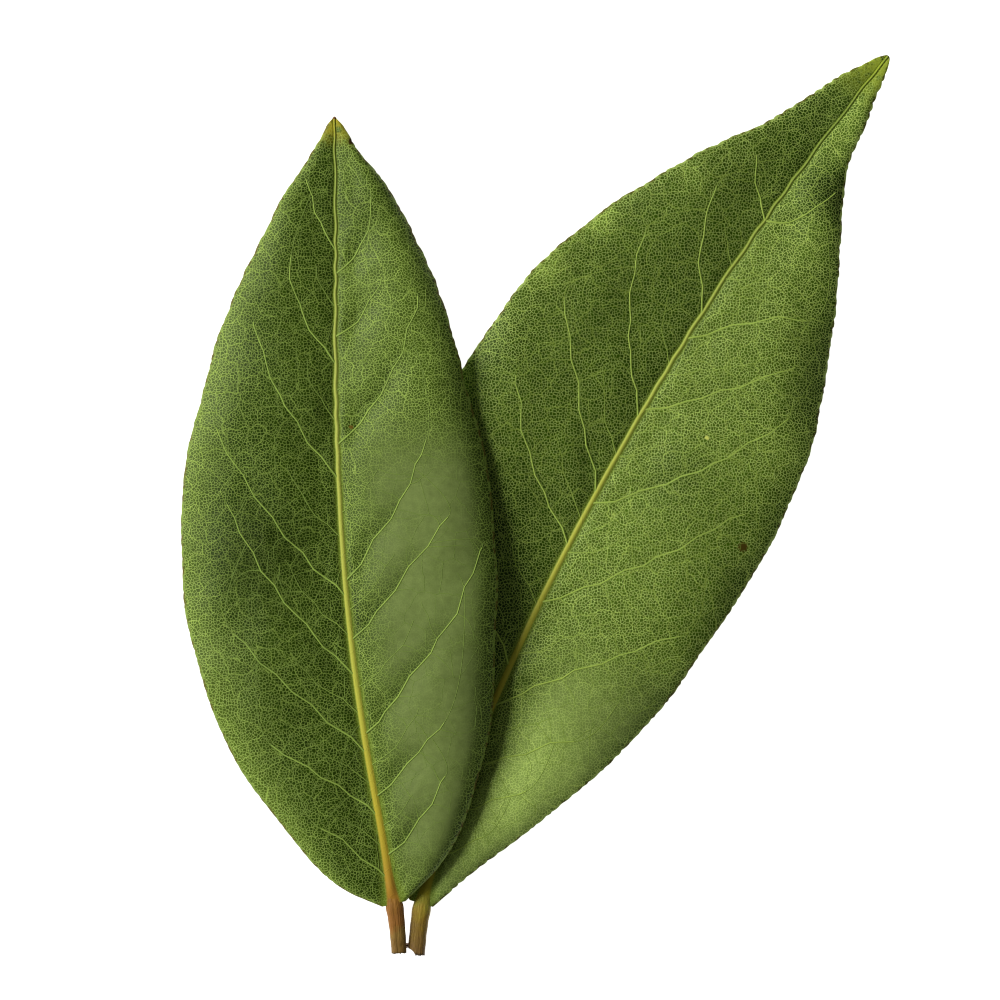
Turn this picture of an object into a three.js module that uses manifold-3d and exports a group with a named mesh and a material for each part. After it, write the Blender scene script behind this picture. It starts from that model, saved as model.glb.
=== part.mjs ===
// A sprig of sweet bay: two leathery leaves, one lying over the other, whose short stalks are still
// held together by a flake of the twig's bark. Millimetres, +Z up, lying on the plane z = 0.
// The leaves are drawn from the point where the two stalks meet, tips towards +Y.

import * as THREE from 'three';
import Module from 'manifold-3d';
import { mergeVertices } from 'three/addons/utils/BufferGeometryUtils.js';

const manifold = await Module();
manifold.setup();

// ---------------------------------------------------------------- driving dimensions

const BLADE_THICKNESS = 0.4;
const BLADE_STATIONS = 36; // sections from the base of a blade to its tip
const STALK_STATIONS = 8;
const STALK_SIDES = 16;
const JOINT_GAP = 0.3; // clearance between neighbouring solids

// Where the columns of a blade lie, as shares of the way from the midrib's edge to the margin.
const COLUMN_SHARES = [0.14, 0.3, 0.46, 0.62, 0.77, 0.9, 1];

// Midrib: half its width, how far it stands above the blade and how far it hangs below.
// Each is a long taper to the tip plus a swelling where it runs into the stalk.
const midrib = {
  halfWidth: { tip: 0.12, taper: 0.42, swelling: 0.5, swellingLength: 0.025 },
  above: { tip: 0.04, taper: 0.12, swelling: 0.4, swellingLength: 0.025 },
  below: { tip: 0.08, taper: 0.37, swelling: 0.5, swellingLength: 0.03 },
};

// A leaf. spine: the midrib's Bezier control points in plan. height: of the blade's top along the
// midrib. A side is [share of the length, half-width] stations, then how its section runs from the
// midrib outwards: it rises as a flat wing, curls down towards the margin and ripples along it.
const frontLeaf = {
  spine: [[-1.4, 4.8], [-8.6, 34.5], [-8.1, 64.5], [-8.2, 94.4]],
  height: { base: 2.75, tip: 0.9, arch: 1.1 },
  left: {
    widths: [
      [0, 1.3], [0.03, 4.9], [0.1, 9.5], [0.2, 14.3], [0.3, 17.1], [0.42, 18.4], [0.55, 17.5],
      [0.7, 13.9], [0.8, 10.5], [0.9, 5.7], [0.96, 2.3], [1, 0.3],
    ],
    rise: 1.4, curl: 3.6, curlPower: 3, ripple: 0.25, ripples: 3.5, rippleStart: 0.3,
  },
  right: {
    widths: [
      [0, 1.3], [0.03, 5.6], [0.1, 10.6], [0.2, 14.4], [0.3, 16.2], [0.44, 17.3], [0.55, 16.8],
      [0.7, 13.7], [0.8, 10.9], [0.9, 6.3], [0.96, 2.5], [1, 0.3],
    ],
    rise: 4.2, curl: 3.6, curlPower: 6, ripple: 0.3, ripples: 3, rippleStart: 0.1,
  },
};

const backLeaf = {
  spine: [[1.7, 4.8], [12.1, 39.9], [31.8, 72.3], [54.8, 101.2]],
  height: { base: 1.6, tip: 3.2, arch: -1.7 },
  left: {
    widths: [
      [0, 1.3], [0.03, 4.6], [0.1, 10], [0.2, 15.6], [0.3, 18.6], [0.45, 20.1], [0.6, 19.2],
      [0.7, 16.1], [0.8, 10.8], [0.88, 6], [0.95, 2.9], [1, 0.4],
    ],
    rise: 2.7, curl: 2.1, curlPower: 4, ripple: 0.7, ripples: 5, rippleStart: 0.15,
  },
  right: {
    widths: [
      [0, 1.3], [0.03, 3.4], [0.1, 8.3], [0.2, 14.4], [0.3, 17.8], [0.45, 19.9], [0.55, 19.8],
      [0.65, 17.4], [0.75, 12.7], [0.83, 7.4], [0.88, 4.4], [0.95, 2], [1, 0.4],
    ],
    rise: 3.6, curl: 3, curlPower: 5, ripple: 0.8, ripples: 4.5, rippleStart: 0.6,
  },
};

// Stalks, from the cut end up to the blade: half-widths across, and half-heights.
const frontStalk = {
  cutEnd: [-0.97, -0.8, 2.05],
  halfWidth: { cut: 0.8, blade: 1.02 },
  halfHeight: { cut: 0.85, blade: 0.92 },
};
const backStalk = {
  cutEnd: [1.13, -1.05, 1.75],
  halfWidth: { cut: 0.86, blade: 1.05 },
  halfHeight: { cut: 0.85, blade: 0.92 },
};
const GROOVE_DEPTH = 0.16; // the shallow channel along a stalk's upper face

// The bite that the tear took out of the back stalk's cut end.
const tear = { centre: [-0.02, -1.3], radius: 1.05 };

// The flake of bark under both cut ends.
const bark = { bottom: 0.12, thickness: 0.45 };
const barkOutline = [
  [-1.75, -0.35], [-0.6, -0.75], [0.7, -0.5], [1.85, -0.7],
  [2.05, 0.5], [0.9, 1.1], [-0.9, 1.35], [-1.8, 0.8],
];

// ---------------------------------------------------------------- materials

const finishes = {
  frontBlade: { color: 0x4f6a2a, roughness: 0.45, metalness: 0 },
  backBlade: { color: 0x557233, roughness: 0.48, metalness: 0 },
  frontStalk: { color: 0x8a5f36, roughness: 0.6, metalness: 0 },
  backStalk: { color: 0x8c7d33, roughness: 0.6, metalness: 0 },
  bark: { color: 0x3d2d1c, roughness: 0.85, metalness: 0 },
};

// ---------------------------------------------------------------- shape helpers

// A smooth curve through [x, y] stations, each with the mean slope of its two neighbours.
function throughStations(stations, x) {
  const slopeAfter = (i) => {
    const [[x0, y0], [x1, y1]] = [stations[i], stations[i + 1]];
    return (y1 - y0) / (x1 - x0);
  };
  const last = stations.length - 2;
  const slopeAt = (i) => (slopeAfter(Math.max(i - 1, 0)) + slopeAfter(Math.min(i, last))) / 2;
  const after = stations.findIndex(([station]) => station > x);
  const i = after < 0 ? last : after - 1;
  const [[x0, y0], [x1, y1]] = [stations[i], stations[i + 1]];
  const span = x1 - x0;
  const t = (x - x0) / span;
  const fromLeft = y0 * (1 + 2 * t) + slopeAt(i) * span * t;
  const fromRight = y1 * (3 - 2 * t) - slopeAt(i + 1) * span * (1 - t);
  return (1 - t) ** 2 * fromLeft + t ** 2 * fromRight;
}

// A midrib dimension at a share of the blade's length.
function ribSize({ tip, taper, swelling, swellingLength }, share) {
  return tip + taper * (1 - share) + swelling * Math.exp(-share / swellingLength);
}

// A closed body through a row of sections, each a ring of points that runs over the top from left
// to right and back underneath, as seen looking along the row. Both ends are closed by a fan.
function loft(sections) {
  const ring = sections[0].length;
  const points = sections.flat();
  const faces = [];
  for (let s = 0; s + 1 < sections.length; s += 1) {
    for (let k = 0; k < ring; k += 1) {
      const a = s * ring + k;
      const b = s * ring + ((k + 1) % ring);
      faces.push([a, b, b + ring], [a, b + ring, a + ring]);
    }
  }
  const centreOf = (section) => section
    .reduce((sum, point) => sum.add(point), new THREE.Vector3())
    .divideScalar(ring);
  const firstCentre = points.push(centreOf(sections[0])) - 1;
  const lastCentre = points.push(centreOf(sections[sections.length - 1])) - 1;
  const lastRing = (sections.length - 1) * ring;
  for (let k = 0; k < ring; k += 1) {
    const next = (k + 1) % ring;
    faces.push([firstCentre, next, k], [lastCentre, lastRing + k, lastRing + next]);
  }
  const geometry = new THREE.BufferGeometry().setFromPoints(points);
  geometry.setIndex(faces.flat());
  geometry.computeVertexNormals();
  return geometry;
}

// ---------------------------------------------------------------- blades

// How high one side of a section stands above the midrib; across runs 0 at the midrib to 1.
function wingHeight(side, share, across) {
  const fullness = throughStations(side.widths, share) / Math.max(...side.widths.map(([, w]) => w));
  const wing = side.rise * across - side.curl * across ** side.curlPower;
  const phase = 2 * Math.PI * (side.ripples * share + side.rippleStart);
  return fullness * (wing + side.ripple * across ** 3 * Math.sin(phase));
}

function bladeSection(leaf, spine, share) {
  const { base, tip, arch } = leaf.height;
  const centre = spine.getPoint(share);
  const along = spine.getTangent(share);
  const toRight = new THREE.Vector2(along.y, -along.x);
  const spineHeight = base + (tip - base) * share + arch * 4 * share * (1 - share);
  const rib = ribSize(midrib.halfWidth, share);
  const top = [];
  const under = [];

  const addColumn = (direction, distance) => {
    const side = direction < 0 ? leaf.left : leaf.right;
    const across = distance / throughStations(side.widths, share);
    const acrossRib = Math.min(distance / rib, 1);
    const crest = Math.cos(acrossRib * Math.PI / 2) ** 2;
    const keel = Math.min(2 * (1 - acrossRib), 1); // flat-bottomed, so that it rests squarely
    const surface = spineHeight + wingHeight(side, share, across);
    const x = centre.x + toRight.x * direction * distance;
    const y = centre.y + toRight.y * direction * distance;
    const below = BLADE_THICKNESS + ribSize(midrib.below, share) * keel;
    top.push(new THREE.Vector3(x, y, surface + ribSize(midrib.above, share) * crest));
    under.push(new THREE.Vector3(x, y, Math.max(surface - below, 0)));
  };

  const distances = (side) => {
    const margin = throughStations(side.widths, share);
    return [rib / 2, rib, ...COLUMN_SHARES.map((part) => rib + (margin - rib) * part)];
  };
  distances(leaf.left).reverse().forEach((distance) => addColumn(-1, distance));
  addColumn(1, 0);
  distances(leaf.right).forEach((distance) => addColumn(1, distance));
  return [...top, ...under.reverse()];
}

function spineOf(leaf) {
  return new THREE.CubicBezierCurve(...leaf.spine.map(([x, y]) => new THREE.Vector2(x, y)));
}

function bladeGeometry(leaf) {
  const spine = spineOf(leaf);
  const sections = [];
  for (let s = 0; s <= BLADE_STATIONS; s += 1) {
    const share = (s / BLADE_STATIONS) ** 1.25; // closer together where the base flares
    sections.push(bladeSection(leaf, spine, share));
  }
  return loft(sections);
}

// ---------------------------------------------------------------- stalks and bark

// A rod from the cut end to just short of the blade, with a channel along its upper face.
function stalkGeometry(stalk, leaf) {
  const spine = spineOf(leaf);
  const along = spine.getTangent(0);
  const direction = new THREE.Vector3(along.x, along.y, 0);
  const base = spine.getPoint(0);
  const above = ribSize(midrib.above, 0);
  const below = BLADE_THICKNESS + ribSize(midrib.below, 0);
  const bladeEnd = new THREE.Vector3(base.x, base.y, leaf.height.base + (above - below) / 2);
  bladeEnd.addScaledVector(direction, -JOINT_GAP);
  const cutEnd = new THREE.Vector3(...stalk.cutEnd);
  const bend = bladeEnd.clone().addScaledVector(direction, -0.45 * bladeEnd.distanceTo(cutEnd));
  const axis = new THREE.QuadraticBezierCurve3(cutEnd, bend, bladeEnd);

  const sections = [];
  for (let s = 0; s <= STALK_STATIONS; s += 1) {
    const share = s / STALK_STATIONS;
    const centre = axis.getPoint(share);
    const heading = axis.getTangent(share);
    const toRight = new THREE.Vector3(heading.y, -heading.x, 0).normalize();
    const up = new THREE.Vector3().crossVectors(toRight, heading);
    const halfWidth = THREE.MathUtils.lerp(stalk.halfWidth.cut, stalk.halfWidth.blade, share);
    const halfHeight = THREE.MathUtils.lerp(stalk.halfHeight.cut, stalk.halfHeight.blade, share);
    const section = [];
    for (let k = 0; k < STALK_SIDES; k += 1) {
      const angle = Math.PI - (2 * Math.PI * k) / STALK_SIDES;
      const groove = GROOVE_DEPTH * Math.max(Math.sin(angle), 0) ** 6;
      section.push(centre.clone()
        .addScaledVector(toRight, halfWidth * Math.cos(angle))
        .addScaledVector(up, halfHeight * Math.sin(angle) - groove));
    }
    sections.push(section);
  }
  return loft(sections);
}

function toSolid(geometry) {
  const bare = geometry.clone();
  bare.deleteAttribute('normal');
  bare.deleteAttribute('uv');
  const merged = mergeVertices(bare);
  return new manifold.Manifold(new manifold.Mesh({
    numProp: 3,
    vertProperties: Float32Array.from(merged.attributes.position.array),
    triVerts: Uint32Array.from(merged.index.array),
  }));
}

function toGeometry(solid) {
  const mesh = solid.getMesh();
  const geometry = new THREE.BufferGeometry();
  geometry.setAttribute('position', new THREE.BufferAttribute(mesh.vertProperties, 3));
  geometry.setIndex(new THREE.BufferAttribute(mesh.triVerts, 1));
  geometry.computeVertexNormals();
  return geometry;
}

function tornStalkGeometry(stalk, leaf) {
  const bite = new THREE.CylinderGeometry(tear.radius, tear.radius, 8, 20);
  bite.rotateX(Math.PI / 2);
  bite.translate(...tear.centre, stalk.cutEnd[2]);
  return toGeometry(toSolid(stalkGeometry(stalk, leaf)).subtract(toSolid(bite)));
}

function barkGeometry() {
  const outline = new THREE.Shape(barkOutline.map(([x, y]) => new THREE.Vector2(x, y)));
  const flake = new THREE.ExtrudeGeometry(outline, { depth: bark.thickness, bevelEnabled: false });
  return flake.translate(0, 0, bark.bottom);
}

// ---------------------------------------------------------------- assembly

function piece(name, geometry, finish) {
  const mesh = new THREE.Mesh(geometry, new THREE.MeshStandardMaterial(finish));
  mesh.name = name;
  return mesh;
}

const sprig = new THREE.Group();
sprig.add(
  piece('front_leaf_blade', bladeGeometry(frontLeaf), finishes.frontBlade),
  piece('front_leaf_stalk', stalkGeometry(frontStalk, frontLeaf), finishes.frontStalk),
  piece('back_leaf_blade', bladeGeometry(backLeaf), finishes.backBlade),
  piece('back_leaf_stalk', tornStalkGeometry(backStalk, backLeaf), finishes.backStalk),
  piece('twig_bark', barkGeometry(), finishes.bark),
);

// The origin goes under the middle of the whole sprig, on the plane it lies on.
const box = new THREE.Box3().setFromObject(sprig);
const middle = box.getCenter(new THREE.Vector3());
sprig.position.set(-middle.x, -middle.y, -box.min.z);

export default sprig;
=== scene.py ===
"""A sprig of sweet bay, dressed around its CAD frame.

Two leathery leaves lie one over the other, held together at their cut stalks by a shred of the
twig's bark. Each blade is a fine skin with a crested midrib and scalloped margins, its veins are
swept over it, and its smallest mesh of veins is in the finish.
"""

from __future__ import annotations

import logging
import math
from collections.abc import Sequence
from dataclasses import dataclass, field
from enum import Enum

import bpy
import numpy as np
from bpy.types import Material, Node, NodeSocket, NodeTree, Object
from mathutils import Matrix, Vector
from mathutils.geometry import delaunay_2d_cdt


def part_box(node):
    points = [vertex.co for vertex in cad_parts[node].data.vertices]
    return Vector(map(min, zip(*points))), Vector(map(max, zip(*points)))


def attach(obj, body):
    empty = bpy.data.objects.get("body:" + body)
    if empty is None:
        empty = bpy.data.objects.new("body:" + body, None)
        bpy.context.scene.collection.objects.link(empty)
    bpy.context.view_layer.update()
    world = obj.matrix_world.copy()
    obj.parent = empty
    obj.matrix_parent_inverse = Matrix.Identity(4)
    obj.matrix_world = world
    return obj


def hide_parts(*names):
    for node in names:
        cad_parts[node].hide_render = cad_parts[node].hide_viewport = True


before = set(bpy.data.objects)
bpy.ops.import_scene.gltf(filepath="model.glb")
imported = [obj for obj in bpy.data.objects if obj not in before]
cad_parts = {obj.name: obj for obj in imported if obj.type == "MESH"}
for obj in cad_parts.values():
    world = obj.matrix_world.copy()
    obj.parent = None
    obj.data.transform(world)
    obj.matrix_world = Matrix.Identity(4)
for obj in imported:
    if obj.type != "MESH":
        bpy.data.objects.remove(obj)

log = logging.getLogger("bay_sprig")

MM = 0.001  # the sprig is worked out in millimetres and built in metres
BODY = "root"
WHOLE_TURN = 6.28  # the range of a random phase, in radians

Array = np.ndarray
Colour = tuple[float, float, float, float]
Groups = dict[str, NodeTree]


# ---------- small helpers


def paint(red: int, green: int, blue: int) -> Colour:
    """Turn a colour as it looks on a screen into the linear one that shaders take.

    Args:
        red, green, blue: The screen colour, 0 to 255.

    Returns:
        The linear colour with full alpha.
    """

    def linear(value: int) -> float:
        """Undo the screen's curve for one channel."""
        share = value / 255
        return share / 12.92 if share <= 0.04045 else ((share + 0.055) / 1.055) ** 2.4

    return (linear(red), linear(green), linear(blue), 1.0)


def tinted(colour: Colour, strength: float) -> Colour:
    """Make a colour lighter or darker."""
    return (*(channel * strength for channel in colour[:3]), 1.0)


def through_stations(stations: Sequence[tuple[float, float]], at: Array) -> Array:
    """Follow a smooth curve through stations, each with the mean slope of its neighbours.

    Args:
        stations: Pairs of place and value, in order of place.
        at: The places wanted.

    Returns:
        The curve's values there.
    """
    places, values = np.array(stations, float).T
    slopes = np.diff(values) / np.diff(places)
    bends = (np.r_[slopes[0], slopes] + np.r_[slopes, slopes[-1]]) / 2
    i = np.clip(np.searchsorted(places, at, side="right") - 1, 0, len(slopes) - 1)
    span = places[i + 1] - places[i]
    t = (at - places[i]) / span
    from_left = values[i] * (1 + 2 * t) + bends[i] * span * t
    from_right = values[i + 1] * (3 - 2 * t) - bends[i + 1] * span * (1 - t)
    return (1 - t) ** 2 * from_left + t**2 * from_right


def arc(start: Array, bend: Array, end: Array, t: Array) -> Array:
    """Run from start to end in one curve that leans towards the bend."""
    return (1 - t) ** 2 * start + 2 * (1 - t) * t * bend + t**2 * end


def fade(start: float, end: float, at: Array) -> Array:
    """Rise smoothly from 0 at start to 1 at end."""
    t = np.clip((at - start) / (end - start), 0, 1)
    return t * t * (3 - 2 * t)


def sprig_anchor() -> Array:
    """Find where the stalks' meeting point lies in the frame, in millimetres."""
    low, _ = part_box("twig_bark")
    return np.array(low) / MM - BARK_LOW_CORNER


def mesh_piece(
    name: str, points: Array, faces: Sequence[Sequence[int]], smooth: bool = True
) -> Object:
    """Make a mesh object from points of the sprig in millimetres.

    Args:
        name: The piece's name.
        points: Its vertices, measured from the stalks' meeting point.
        faces: Its faces, as rows of vertex numbers.
        smooth: Whether its faces are shaded smooth.

    Returns:
        The object, at the origin, with its place in its mesh.
    """
    mesh = bpy.data.meshes.new(name)
    placed = (np.asarray(points, float) + sprig_anchor()) * MM
    mesh.from_pydata(placed.tolist(), [], [list(face) for face in faces])
    mesh.validate()
    mesh.polygons.foreach_set("use_smooth", [smooth] * len(mesh.polygons))
    return show(name, mesh)


def show(name: str, data: bpy.types.ID) -> Object:
    """Put a mesh, a light or a camera into the scene.

    Args:
        name: The object's name.
        data: What it shows.

    Returns:
        The object.
    """
    shown = bpy.data.objects.new(name, data)
    bpy.context.scene.collection.objects.link(shown)
    return shown


def write_attribute(piece: Object, name: str, values: Array) -> None:
    """Store one number per vertex under a name that the finishes read."""
    attribute = piece.data.attributes.new(name, "FLOAT", "POINT")
    attribute.data.foreach_set("value", np.asarray(values, np.float32))


# ---------- the shape of a leaf

BARK_LOW_CORNER = np.array([-1.8, -0.75, 0.12])  # of the CAD's flake, from the meeting point


class Half(Enum):
    """The two halves of a blade, seen from above with its tip away from the viewer."""

    LEFT = -1
    RIGHT = 1


@dataclass(frozen=True)
class RibSize:
    """One dimension of the midrib: a taper to the tip and a swelling into the stalk."""

    tip: float
    taper: float
    swelling: float
    swelling_length: float

    def at(self, share: Array) -> Array:
        """Give the dimension at shares of the blade's length."""
        return (
            self.tip
            + self.taper * (1 - share)
            + self.swelling * np.exp(-np.asarray(share) / self.swelling_length)
        )


@dataclass(frozen=True)
class Wing:
    """One half of a blade: its outline, and how its section runs out from the midrib."""

    widths: tuple[tuple[float, float], ...]
    rise: float
    curl: float
    curl_power: float
    ripple: float
    ripples: float
    ripple_start: float

    def half_width(self, share: Array) -> Array:
        """Give the distance from the midrib to the margin."""
        return through_stations(self.widths, share)

    def height(self, share: Array, across: Array) -> Array:
        """Give the height above the midrib, across running from 0 at it to 1 at the margin.

        Args:
            share: Shares of the blade's length.
            across: Shares of the way out, 0 at the midrib and 1 at the margin.

        Returns:
            The heights above the midrib.
        """
        widest = max(width for _, width in self.widths)
        fullness = self.half_width(share) / widest
        wing = self.rise * across - self.curl * across**self.curl_power
        phase = 2 * np.pi * (self.ripples * share + self.ripple_start)
        return fullness * (wing + self.ripple * across**3 * np.sin(phase))


@dataclass(frozen=True)
class LeafShape:
    """The form of one leaf, in millimetres from the place where the stalks meet."""

    spine: tuple[tuple[float, float], ...]
    base_height: float
    tip_height: float
    arch: float
    left: Wing
    right: Wing
    thickness: float = 0.4
    rib_half_width: RibSize = RibSize(0.12, 0.42, 0.5, 0.025)
    rib_above: RibSize = RibSize(0.04, 0.12, 0.4, 0.025)
    rib_below: RibSize = RibSize(0.08, 0.37, 0.5, 0.03)
    sway: tuple[tuple[float, float], ...] = ((0, 0), (1, 0))  # how far it strays to the right
    kink: float = 0.07  # how far it zigzags where it is thin
    kinks: int = 22

    def wing(self, half: Half) -> Wing:
        """Pick one half."""
        return self.left if half is Half.LEFT else self.right

    def centre(self, share: Array) -> Array:
        """Give the midrib's place in plan at shares of its length.

        Args:
            share: Shares of the blade's length.

        Returns:
            Rows of x and y.
        """
        t = np.atleast_1d(share)[:, None]
        a, b, c, d = (np.array(point, float) for point in self.spine)
        curve = (1 - t) ** 3 * a + 3 * (1 - t) ** 2 * t * b + 3 * (1 - t) * t**2 * c + t**3 * d
        zigzag = self.kink * fade(0.4, 0.75, t) * fade(0, 0.04, 1 - t)
        zigzag = zigzag * np.sin(2 * np.pi * self.kinks * t + 2 * np.sin(31 * t))
        return curve + self.to_right(share) * (through_stations(self.sway, t) + zigzag)

    def along(self, share: Array) -> Array:
        """Give the midrib's direction in plan, towards the tip.

        Args:
            share: Shares of the blade's length.

        Returns:
            Rows of unit directions.
        """
        t = np.atleast_1d(share)[:, None]
        a, b, c, d = (np.array(point, float) for point in self.spine)
        way = (1 - t) ** 2 * (b - a) + 2 * (1 - t) * t * (c - b) + t**2 * (d - c)
        return way / np.linalg.norm(way, axis=1, keepdims=True)

    def to_right(self, share: Array) -> Array:
        """Give the direction in plan from the midrib to the right-hand margin."""
        way = self.along(share)
        return np.c_[way[:, 1], -way[:, 0]]

    def margin_at(self, share: Array, sideways: Array) -> Array:
        """Give how far the margin is from the midrib, on the side where each place lies."""
        left, right = self.left.half_width(share), self.right.half_width(share)
        return np.where(sideways < 0, left, right)

    def spine_height(self, share: Array) -> Array:
        """Give the height of the blade's top along the midrib, without its crest."""
        slope = (self.tip_height - self.base_height) * share
        return self.base_height + slope + self.arch * 4 * share * (1 - share)

    def length(self) -> float:
        """Measure the midrib."""
        points = self.centre(np.linspace(0, 1, 200))
        return float(np.linalg.norm(np.diff(points, axis=0), axis=1).sum())

    def surface(self, share: Array, sideways: Array) -> Array:
        """Give the height of the plain top surface.

        Args:
            share: Shares of the blade's length.
            sideways: Distances from the midrib, negative to the left.

        Returns:
            Heights without the midrib's crest and the fine relief.
        """
        lifted = np.zeros_like(sideways, dtype=float)
        for half in Half:
            wing = self.wing(half)
            here = np.sign(sideways) == half.value
            across = np.clip(np.abs(sideways) / np.maximum(wing.half_width(share), 1e-6), 0, 1.03)
            lifted = np.where(here, wing.height(share, across), lifted)
        return self.spine_height(share) + lifted

    def locate(self, plan: Array) -> tuple[Array, Array]:
        """Find places in plan along and beside the midrib.

        Args:
            plan: Rows of x and y.

        Returns:
            The share of the length and the signed distance from the midrib of each.
        """
        shares = np.linspace(0, 1, 800)
        points = self.centre(shares)
        gaps = np.linalg.norm(plan[:, None, :] - points[None, :, :], axis=2)
        nearest = gaps.argmin(axis=1)
        share = shares[nearest]
        offset = plan - points[nearest]
        step = self.length()
        share = np.clip(share + np.sum(offset * self.along(share), axis=1) / step, 0, 1)
        offset = plan - self.centre(share)
        return share, np.sum(offset * self.to_right(share), axis=1)


FRONT_SHAPE = LeafShape(
    spine=((-1.4, 4.8), (-8.6, 34.5), (-8.1, 64.5), (-8.2, 94.4)),
    base_height=2.75,
    tip_height=0.9,
    arch=1.1,
    left=Wing(
        widths=(
            (0, 1.3), (0.03, 5.1), (0.1, 9.9), (0.2, 14.6), (0.3, 17.25), (0.42, 18.4),
            (0.55, 17.5), (0.7, 13.9), (0.8, 10.5), (0.9, 5.7), (0.96, 2.3), (1, 0.3),
        ),
        rise=1.4, curl=3.6, curl_power=3, ripple=0.25, ripples=3.5, ripple_start=0.3,
    ),
    right=Wing(
        widths=(
            (0, 1.3), (0.03, 5.4), (0.1, 10.2), (0.2, 14.1), (0.3, 16.05), (0.44, 17.3),
            (0.55, 16.8), (0.7, 13.7), (0.8, 10.9), (0.9, 6.3), (0.96, 2.5), (1, 0.3),
        ),
        rise=4.2, curl=3.6, curl_power=6, ripple=0.3, ripples=3, ripple_start=0.1,
    ),
    sway=(
        (0, 0), (0.03, 0.12), (0.06, 0.28), (0.1, 0.4), (0.2, 0.31), (0.3, 0.14), (0.42, 0),
        (0.7, 0), (0.8, 0.13), (0.9, 0.12), (1, 0),
    ),
)

BACK_SHAPE = LeafShape(
    spine=((1.7, 4.8), (12.1, 39.9), (31.8, 72.3), (54.8, 101.2)),
    base_height=1.6,
    tip_height=3.2,
    arch=-1.7,
    left=Wing(
        widths=(
            (0, 1.3), (0.03, 4.6), (0.1, 10), (0.2, 15.6), (0.3, 18.6), (0.45, 20.1),
            (0.6, 19.2), (0.7, 16.1), (0.8, 10.8), (0.88, 6), (0.95, 2.9), (1, 0.4),
        ),
        rise=2.7, curl=2.1, curl_power=4, ripple=0.7, ripples=5, ripple_start=0.15,
    ),
    right=Wing(
        widths=(
            (0, 1.3), (0.03, 3.4), (0.1, 8.3), (0.2, 14.4), (0.3, 17.8), (0.45, 19.9),
            (0.55, 19.8), (0.65, 17.4), (0.75, 12.7), (0.83, 7.4), (0.88, 4.4), (0.95, 2),
            (1, 0.4),
        ),
        rise=3.6, curl=3, curl_power=5, ripple=0.8, ripples=4.5, ripple_start=0.6,
    ),
    sway=((0, 0), (0.15, 0), (0.3, 0.15), (0.4, 0.2), (0.5, 0.2), (0.6, 0.12), (0.7, 0), (1, 0)),
)


# ---------- veins


@dataclass(frozen=True)
class Lateral:
    """A side vein: where it leaves the midrib, its angle there and at its end, its length."""

    leaves_at: float
    first_angle: float
    last_angle: float
    length: float


@dataclass(frozen=True)
class VeinPath:
    """A vein's course in plan and its radius along it, both in millimetres."""

    plan: Array
    radius: Array


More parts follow.
